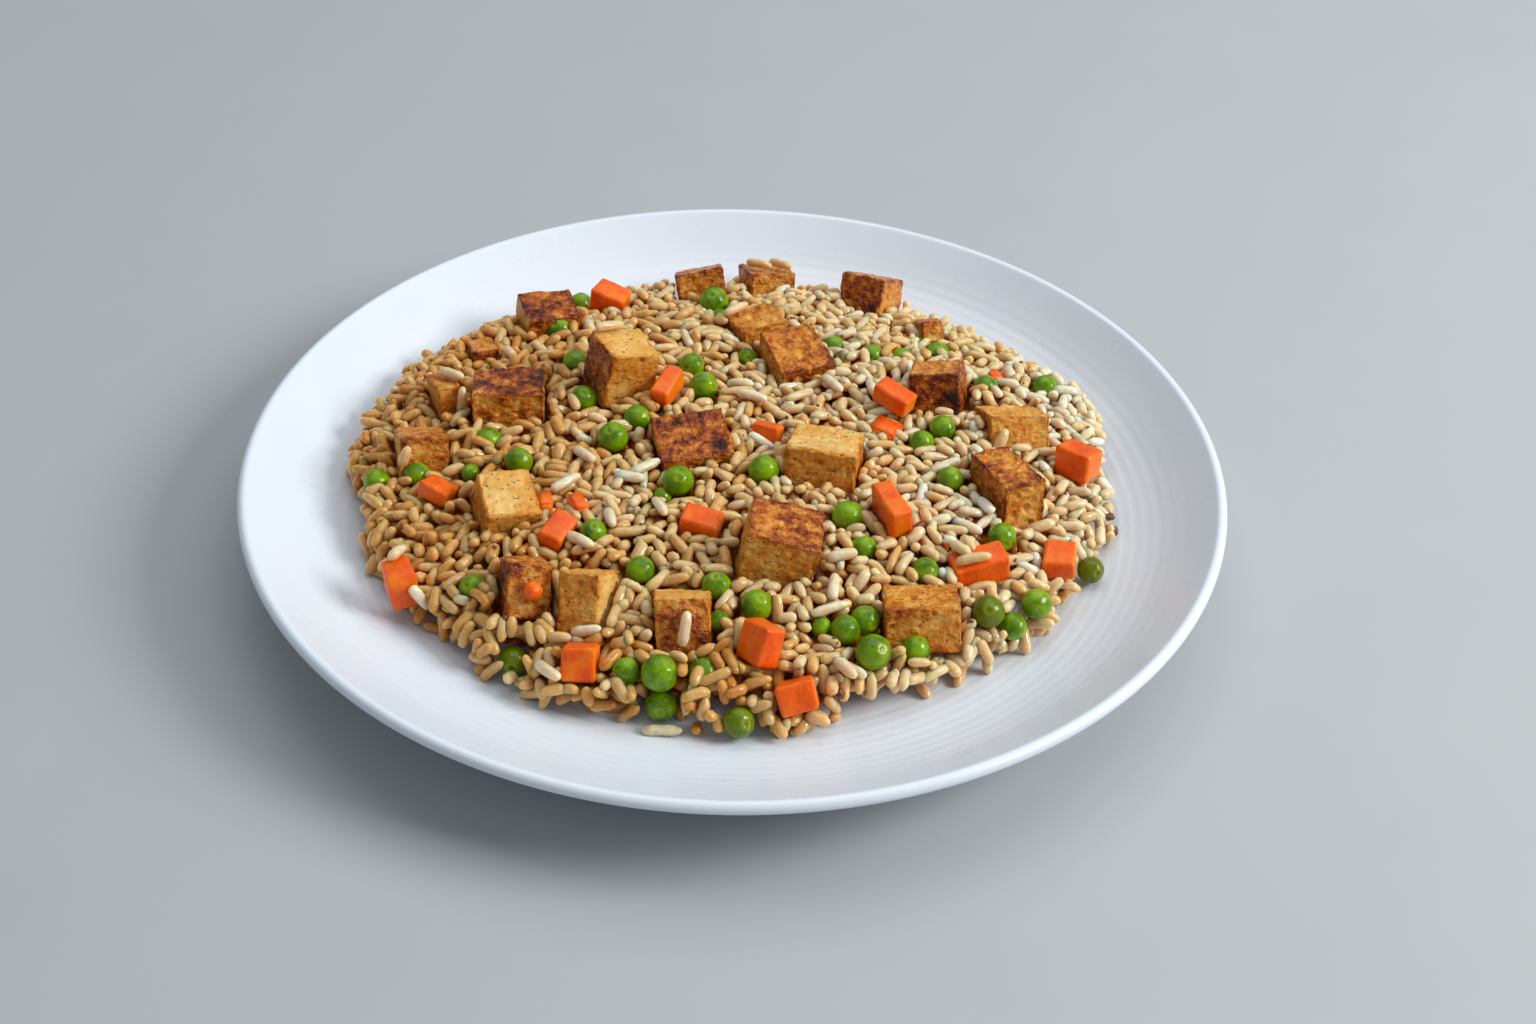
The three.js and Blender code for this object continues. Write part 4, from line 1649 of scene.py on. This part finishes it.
        # Deeper below the evened-out level: more sauce and painted shade.
        gap_sauce_and_shade = inner * blend_step(self.stain_start, self.stain_end, depth)
        # Faces that look down get painted shade.
        beneath = self.underside * (0.5 + 0.5 * inner) * (1 - blend_step(-0.2, 0.85, normals[:, 2]))
        return 1 - (1 - gap_sauce_and_shade) * (1 - beneath)


@dataclass(frozen=True)
class StuckGrain:
    """A grain that sticks to a topping's face, by millimetres from its middle and degrees of turn."""

    dice: str
    face: Face
    across: float
    up: float
    turn: float
    tone: float = 0.75
    kind: GrainKind = GrainKind.LONG

    def grain(self, block: Block) -> Grain:
        """The grain as it lies on the dice."""
        sunk = 0.15
        place, directions = block.on_face(self.face, self.across, self.up, self.kind.thick / 2 - sunk)
        angle = math.radians(self.turn)
        length = directions[0] * math.cos(angle) + directions[1] * math.sin(angle)
        outward = directions[2]
        turned = Matrix((length, np.cross(outward, length), outward)).transposed()
        return Grain(*place, tuple(turned.to_euler("XYZ")), (1.05, 1.0, 1.0), self.kind, self.tone)


STUCK_GRAINS = [
    StuckGrain("tofu_20", Face.FRONT, 0.5, -0.5, 79, 0.80),
    StuckGrain("tofu_03", Face.TOP, -3.2, -1.8, -50, 0.5),
    StuckGrain("tofu_03", Face.TOP, 3.4, -3.4, -62, 0.55),
    StuckGrain("tofu_05", Face.TOP, -3.0, 6.5, 8, 0.62),
    StuckGrain("tofu_10", Face.FRONT, 2.6, 3.0, 80, 0.62, GrainKind.BENT),
    StuckGrain("tofu_10", Face.TOP, 2.0, -2.0, -60, 0.7),
    StuckGrain("tofu_11", Face.FRONT, -5.5, 1.0, 70, 0.5, GrainKind.STUBBY),
    StuckGrain("tofu_19", Face.FRONT, 3.5, -6.3, 12, 0.82, GrainKind.BENT),
    StuckGrain("tofu_15", Face.FRONT, -6.5, -1.0, 65, 0.6, GrainKind.BENT),
    StuckGrain("tofu_07", Face.TOP, -4.0, 5.0, 15, 0.66),
    StuckGrain("carrot_10", Face.TOP, -1.7, -2.2, -8, 0.6),
    StuckGrain("carrot_10", Face.TOP, -3.6, 2.6, -65, 0.72, GrainKind.SWOLLEN),
    StuckGrain("carrot_10", Face.TOP, -1.2, 4.0, -80, 0.6, GrainKind.STUBBY),
    StuckGrain("carrot_04", Face.FRONT, 0.3, -1.3, -20, 0.95),
    StuckGrain("carrot_12", Face.TOP, 1.2, 4.2, 32, 0.75, GrainKind.STUBBY),
    StuckGrain("carrot_12", Face.FRONT, 3.4, -1.6, -70, 0.92),
]


@dataclass
class Crumbs:
    """Browned crumbs over the heap, and a few crisp bits of crust."""

    bed: GrainBed
    count: int = 110
    smallest: float = 0.3
    largest: float = 0.75
    last_part: float = 0.96
    seed: int = 77

    def piece(self) -> bpy.types.Object:
        """Makes every crumb as one mesh of small crooked lumps."""
        random = np.random.default_rng(self.seed)
        work = bmesh.new()
        bmesh.ops.create_icosphere(work, subdivisions=2, radius=1)
        ball = np.array([v.co[:] for v in work.verts])
        faces = [[v.index for v in f.verts] for f in work.faces]
        work.free()
        crumbs = []
        while len(crumbs) < self.count:
            x, y = random.uniform(-108, 108), random.uniform(-92, 98)
            outside = self.bed.heap.part(np.array(x), np.array(y)) > self.last_part
            if outside or self.bed.blocked[self.bed.spot(x, y)]:
                continue
            radius = random.uniform(self.smallest, self.largest)
            crumbs.append((x, y, self.bed.ground(x, y), radius))
        crumbs.extend((*bit[:2], self.bed.ground(*bit[:2]) + 0.5, bit[2]) for bit in CRISP_BITS)
        points = []
        for number, (x, y, z, radius) in enumerate(crumbs):
            stretch = random.uniform(0.6, 1.4, size=3)
            bumps = 1 + 0.4 * smooth_noise(ball * 3, 2.0, 500 + number)
            turn = np.array(Euler(random.uniform(0, 3, size=3)).to_matrix())
            points.append((ball * bumps[:, None] * stretch * radius) @ turn + [x, y, z])
        every = [[i + n * len(ball) for i in face] for n in range(len(crumbs)) for face in faces]
        made = mesh_object("fried_crumbs", np.vstack(points), every, CrumbFinish().material())
        hand_over(made, "tofu")
        return made


# Crisp bits of crust: x, y and radius.
CRISP_BITS = [
    (105.5, -9.5, 1.9),
    (103.5, -11, 1.3),
    (50, -31, 1.3),
    (46, -29, 1.0),
    (32, -25, 1.2),
    (84, 10, 1.2),
    (-30, 88, 1.1),
    (29, -85.5, 1.2),
]


@dataclass
class GrainScatter:
    """A Geometry Nodes tree that sets one grain on each point and makes each a little uneven."""

    unevenness: float = 0.75
    lump: float = 2.4

    def tree(self) -> bpy.types.GeometryNodeTree:
        """Builds the node group with its named inputs."""
        tree = bpy.data.node_groups.new("grain_scatter", "GeometryNodeTree")
        inputs = (
            ("Geometry", "NodeSocketGeometry"),
            ("Grain", "NodeSocketObject"),
            ("Unevenness", "NodeSocketFloat"),
            ("Lump Size", "NodeSocketFloat"),
            ("Finish", "NodeSocketMaterial"),
        )
        for name, kind in inputs:
            tree.interface.new_socket(name, in_out="INPUT", socket_type=kind)
        tree.interface.new_socket("Geometry", in_out="OUTPUT", socket_type="NodeSocketGeometry")
        add = tree.nodes.new
        link = tree.links.new
        given = add("NodeGroupInput")
        result = add("NodeGroupOutput")
        turn = add("GeometryNodeInputNamedAttribute")
        turn.data_type = "FLOAT_VECTOR"
        turn.inputs["Name"].default_value = "turn"
        size = add("GeometryNodeInputNamedAttribute")
        size.data_type = "FLOAT_VECTOR"
        size.inputs["Name"].default_value = "size"
        rotation = add("FunctionNodeEulerToRotation")
        grain = add("GeometryNodeObjectInfo")
        setting = add("GeometryNodeInstanceOnPoints")
        realize = add("GeometryNodeRealizeInstances")
        noise = add("ShaderNodeTexNoise")
        scale = add("ShaderNodeMath")
        scale.operation = "DIVIDE"
        scale.inputs[0].default_value = 1.0
        centred = add("ShaderNodeVectorMath")
        centred.operation = "SUBTRACT"
        centred.inputs[1].default_value = (0.5, 0.5, 0.5)
        offset = add("ShaderNodeVectorMath")
        offset.operation = "SCALE"
        move = add("GeometryNodeSetPosition")
        smooth = add("GeometryNodeSetShadeSmooth")
        finish = add("GeometryNodeSetMaterial")
        link(turn.outputs["Attribute"], rotation.inputs["Euler"])
        link(given.outputs["Grain"], grain.inputs["Object"])
        link(given.outputs["Geometry"], setting.inputs["Points"])
        link(grain.outputs["Geometry"], setting.inputs["Instance"])
        link(rotation.outputs["Rotation"], setting.inputs["Rotation"])
        link(size.outputs["Attribute"], setting.inputs["Scale"])
        link(setting.outputs["Instances"], realize.inputs["Geometry"])
        link(given.outputs["Lump Size"], scale.inputs[1])
        link(scale.outputs[0], noise.inputs["Scale"])
        link(noise.outputs["Color"], centred.inputs[0])
        link(centred.outputs["Vector"], offset.inputs["Vector"])
        link(given.outputs["Unevenness"], offset.inputs["Scale"])
        link(realize.outputs["Geometry"], move.inputs["Geometry"])
        link(offset.outputs["Vector"], move.inputs["Offset"])
        link(move.outputs["Geometry"], smooth.inputs["Geometry"])
        link(smooth.outputs["Geometry"], finish.inputs["Geometry"])
        link(given.outputs["Finish"], finish.inputs["Material"])
        link(finish.outputs["Geometry"], result.inputs["Geometry"])
        return tree

    def scatter(
        self,
        name: str,
        shape: bpy.types.Mesh,
        grains: list,
        tree: bpy.types.GeometryNodeTree,
        material: bpy.types.Material,
    ) -> bpy.types.Object:
        """Sets a shape on the places of the grains.

        Args:
            name: The piece's name.
            shape: The shape that is set.
            grains: The grains, with their places and tones.
            tree: The node group.
            material: Their finish.

        Returns:
            The piece as a plain mesh.
        """
        model = bpy.data.objects.new(f"{name}_model", shape)
        spots = bpy.data.meshes.new(name)
        spots.from_pydata([(g.x * MM, g.y * MM, g.z * MM) for g in grains], [], [])
        for label, rows in (("turn", [g.turns for g in grains]), ("size", [g.scale for g in grains])):
            layer = spots.attributes.new(label, "FLOAT_VECTOR", "POINT")
            layer.data.foreach_set("vector", np.array(rows, np.float32).ravel())
        mark_points(spots, "tone", np.array([g.tone for g in grains]))
        helper = bpy.data.objects.new(f"{name}_helper", spots)
        for each in (model, helper):
            bpy.context.scene.collection.objects.link(each)
        modifier = helper.modifiers.new("grains", "NODES")
        modifier.node_group = tree
        sockets = {s.name: s.identifier for s in tree.interface.items_tree if s.in_out == "INPUT"}
        modifier[sockets["Grain"]] = model
        modifier[sockets["Unevenness"]] = self.unevenness * MM
        modifier[sockets["Lump Size"]] = self.lump * MM
        modifier[sockets["Finish"]] = material
        mesh = plain_mesh(helper)
        mesh.name = name
        for each in (helper, model):
            bpy.data.objects.remove(each)
        if not mesh.materials:
            mesh.materials.append(material)
        made = bpy.data.objects.new(name, mesh)
        bpy.context.scene.collection.objects.link(made)
        return made


@dataclass
class RiceCore:
    """The closed body of rice under the loose grains."""

    heap: Heap
    bed: GrainBed
    half_span: float = 114.0
    step: float = 1.5
    gap: float = 0.3
    relief: float = 0.7
    last_part: float = 0.86

    def build(self) -> bpy.types.Object:
        """Makes the core as a closed sheet of two faces, and hands it over."""
        line = np.arange(-self.half_span, self.half_span + 0.1, self.step)
        x, y = np.meshgrid(line, line)
        spots = np.column_stack([x.ravel(), y.ravel(), np.zeros(x.size)])
        bottom = self.heap.plate.top(np.hypot(x, y)) + self.gap
        bumps = rough_noise(spots, 3.0, 6, 2).reshape(x.shape)
        top = self.bed.core_top(x, y) - self.relief * (1 + bumps) / 2
        for block in self.bed.blocks.values():
            low, high = block.columns(x, y)
            top = np.where(low < high, np.minimum(top, low - 0.4), top)
        inside = (top > bottom + 0.5) & (self.heap.part(x, y) < self.last_part)
        top = np.maximum(top, bottom + 0.2)
        number = np.full(x.shape, -1)
        number[inside] = np.arange(inside.sum())
        count = int(inside.sum())
        points = np.vstack([np.column_stack([x[inside], y[inside], z[inside]]) for z in (top, bottom)])
        faces, sides = [], {}
        rows, columns = x.shape
        for i in range(rows - 1):
            for j in range(columns - 1):
                ring = [number[i, j], number[i, j + 1], number[i + 1, j + 1], number[i + 1, j]]
                if min(ring) < 0:
                    continue
                ring = [int(v) for v in ring]
                faces.append(ring)
                faces.append([v + count for v in reversed(ring)])
                for a, b in zip(ring, ring[1:] + ring[:1]):
                    if (b, a) in sides:
                        del sides[(b, a)]
                    else:
                        sides[(a, b)] = True
        faces.extend([b, a, a + count, b + count] for a, b in sides)
        core = mesh_object("rice_core", points, faces, ShadedCoreFinish().material())
        work = bmesh.new()
        work.from_mesh(core.data)
        bmesh.ops.delete(work, geom=[v for v in work.verts if not v.link_faces], context="VERTS")
        work.to_mesh(core.data)
        work.free()
        hand_over(core, "rice", "rice")
        return core


# ---------------------------------------------------------------- studio


@dataclass
class Studio:
    """Floor, soft light and the camera."""

    lens: float = 50.0
    sensor: float = 36.0
    pitch: float = 38.092
    roll: float = 1.768
    place: tuple = (9.6, -474.3, 377.6)

    def camera(self) -> None:
        """Sets up the camera at the angle of a diner looking down at the plate."""
        data = bpy.data.cameras.new("camera")
        data.lens = self.lens
        data.sensor_width = self.sensor
        data.clip_start = 0.01
        camera = bpy.data.objects.new("camera", data)
        pitch = math.radians(self.pitch)
        forward = Vector((0, math.cos(pitch), -math.sin(pitch)))
        level_right = Vector((1, 0, 0))
        level_up = Vector((0, math.sin(pitch), math.cos(pitch)))
        roll = math.radians(self.roll)
        right = level_right * math.cos(roll) + level_up * math.sin(roll)
        up = level_up * math.cos(roll) - level_right * math.sin(roll)
        turn = Matrix((right, up, -forward)).transposed().to_4x4()
        camera.matrix_world = Matrix.Translation(Vector(self.place) * MM) @ turn
        bpy.context.scene.collection.objects.link(camera)
        bpy.context.scene.camera = camera

    def light(self, name: str, place: tuple, size: tuple, power: float, colour: tuple) -> None:
        """Hangs one soft light that looks at the plate.

        Args:
            name: The light's name.
            place: Where it hangs, in metres.
            size: Its width and height, in metres.
            power: Its power in watts.
            colour: Its colour.
        """
        data = bpy.data.lights.new(name, "AREA")
        data.shape = "RECTANGLE"
        data.size, data.size_y = size
        data.energy = power
        data.color = colour
        lamp = bpy.data.objects.new(name, data)
        aim = Vector((0, 0, 0.02)) - Vector(place)
        lamp.matrix_world = Matrix.Translation(place) @ aim.to_track_quat("-Z", "Y").to_matrix().to_4x4()
        bpy.context.scene.collection.objects.link(lamp)

    def build(self) -> None:
        """Makes the floor, the lights and the surrounding light."""
        half = 4000.0
        floor = mesh_object(
            "floor",
            np.array([(-half, -half, 0), (half, -half, 0), (half, half, 0), (-half, half, 0)]),
            [(0, 1, 2, 3)],
            FloorFinish().material(),
        )
        self.light("window", (1.2, -0.2, 0.85), (0.66, 0.58), 17, (1.0, 0.99, 0.97))
        self.light("ceiling", (0.2, 0.6, 1.7), (2.0, 1.6), 14, (0.96, 0.98, 1.0))
        world = bpy.data.worlds.new("studio_air")
        world.use_nodes = True
        sky = world.node_tree.nodes["Background"]
        sky.inputs["Color"].default_value = (0.87, 0.93, 1.0, 1)
        sky.inputs["Strength"].default_value = 0.32
        bpy.context.scene.world = world
        bpy.context.scene.view_settings.view_transform = "Standard"


# ---------------------------------------------------------------- the whole


# How olive a pea is, 0 to 1: the old ones, the other ones on the heap and those in the rice.
OLIVE_PEAS = {
    "pea_05": 0.3,
    "pea_11": 0.6,
    "pea_15": 0.7,
    "pea_16": 0.25,
    "pea_17": 0.8,
    "pea_19": 0.9,
}
FRESH_PEA = 0.08
BURIED_PEA = 0.1


def build_toppings() -> tuple[dict, list]:
    """Builds tofu, carrots and peas.

    Returns:
        The boxes of the dice by name, and rows of x, y, z, radius and kept-out reach for the peas.
    """
    tofu_material = TofuFinish().material()
    carrot_material = CarrotFinish().material()
    pea_material = PeaFinish().material()
    nodes = sorted(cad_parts)
    blocks = {name: Block.from_node(name) for name in nodes if name.startswith(("tofu_", "carrot_"))}
    for number, (name, block) in enumerate(blocks.items()):
        if name in TOFU_BROWNING:
            TofuCube(block, TOFU_BROWNING[name], 40 + 3 * number).build(tofu_material)
        else:
            CarrotDice(block, 200 + 3 * number).build(carrot_material)
    skin = PeaSkin()
    peas = []
    for name in (n for n in nodes if n.startswith("pea_")):
        low, high = (np.array(corner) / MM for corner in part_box(name))
        x, y, z = (low + high) / 2
        radius = float((high - low).max() / 2)
        age = OLIVE_PEAS.get(name, FRESH_PEA)
        made = skin.piece(f"{name}_skin", [(x, y, z, radius, age)], pea_material)
        hand_over(made, "pea", name)
        peas.append((x, y, z, radius, STANDING_REACH))
    buried = skin.piece("buried_peas", [(*row, BURIED_PEA) for row in BURIED_PEAS], pea_material)
    hand_over(buried, "pea")
    peas.extend((*row, BURIED_REACH) for row in BURIED_PEAS)
    build_slivers(carrot_material)
    build_bead(blocks["tofu_18"], carrot_material)
    return blocks, peas


def build_slivers(material: bpy.types.Material) -> None:
    """Builds the slivers of carrot half in the rice, as one piece."""
    work = bmesh.new()
    for x, y, z, length, width, height, turn, lean, roll in SLIVERS:
        turned = Euler([math.radians(a) for a in (lean, roll, turn)]).to_matrix().to_4x4()
        size = Matrix.Diagonal((length, width, height, 1))
        place = Matrix.Translation((x, y, z)) @ turned @ Matrix.Translation((0, 0, -height / 2)) @ size
        bmesh.ops.create_cube(work, size=1, matrix=place)
    bmesh.ops.bevel(work, geom=work.edges[:], offset=0.5, segments=2, affect="EDGES")
    bmesh.ops.subdivide_edges(work, edges=work.edges[:], cuts=2, use_grid_fill=True)
    points = np.array([v.co[:] for v in work.verts])
    faces = [[v.index for v in f.verts] for f in work.faces]
    work.free()
    made = mesh_object("carrot_slivers", points, faces, material)
    mark_places(made.data, "own_place", points)
    hand_over(made, "carrot")


def build_bead(block: Block, material: bpy.types.Material) -> None:
    """Builds the orange bead that sticks to the front of one tofu cube."""
    radius = 2.6
    place, _ = block.on_face(Face.FRONT, 0.5, 0.6, radius * 0.35)
    work = bmesh.new()
    bmesh.ops.create_icosphere(work, subdivisions=4, radius=radius)
    ball = np.array([v.co[:] for v in work.verts])
    faces = [[v.index for v in f.verts] for f in work.faces]
    work.free()
    points = ball * (1 - 0.05 * (1 + smooth_noise(ball, 2.0, 9)))[:, None] + place
    made = mesh_object("carrot_bead", points, faces, material)
    mark_places(made.data, "own_place", ball)
    hand_over(made, "carrot")


def build_rice(plate: Plate, blocks: dict, peas: list) -> None:
    """Builds the core, the loose grains and the crumbs.

    Args:
        plate: The plate that carries the heap.
        blocks: The boxes of the dice by name.
        peas: The peas' places and kept-out reach.
    """
    heap = Heap(plate)
    bed = GrainBed(heap, blocks, peas)
    RiceCore(heap, bed).build()
    grains = bed.settle()
    grains.extend(stuck.grain(blocks[stuck.dice]) for stuck in STUCK_GRAINS)
    log.info("%d grains laid, %d shown", len(bed.grains), len(grains))
    level = bed.surface()
    scatter = GrainScatter()
    tree = scatter.tree()
    material = GrainFinish().material()
    for kind in GrainKind:
        same = [g for g in grains if g.kind is kind]
        made = scatter.scatter(f"grains_{kind.name.lower()}", kind.mesh(), same, tree, material)
        # Sauce and painted shade in the gaps and under the grains.
        stain = bed.stain_at(mesh_points(made.data), mesh_normals(made.data), level)
        mark_points(made.data, "stain", stain)
        hand_over(made, "rice", "rice")
    Crumbs(bed).piece()


def main() -> None:
    """Builds every piece in order."""
    logging.basicConfig(level=logging.INFO, format="%(name)s %(message)s")
    studio = Studio()
    studio.camera()
    plate = Plate()
    plate.build()
    blocks, peas = build_toppings()
    build_rice(plate, blocks, peas)
    studio.build()


if __name__ == "__main__":
    main()
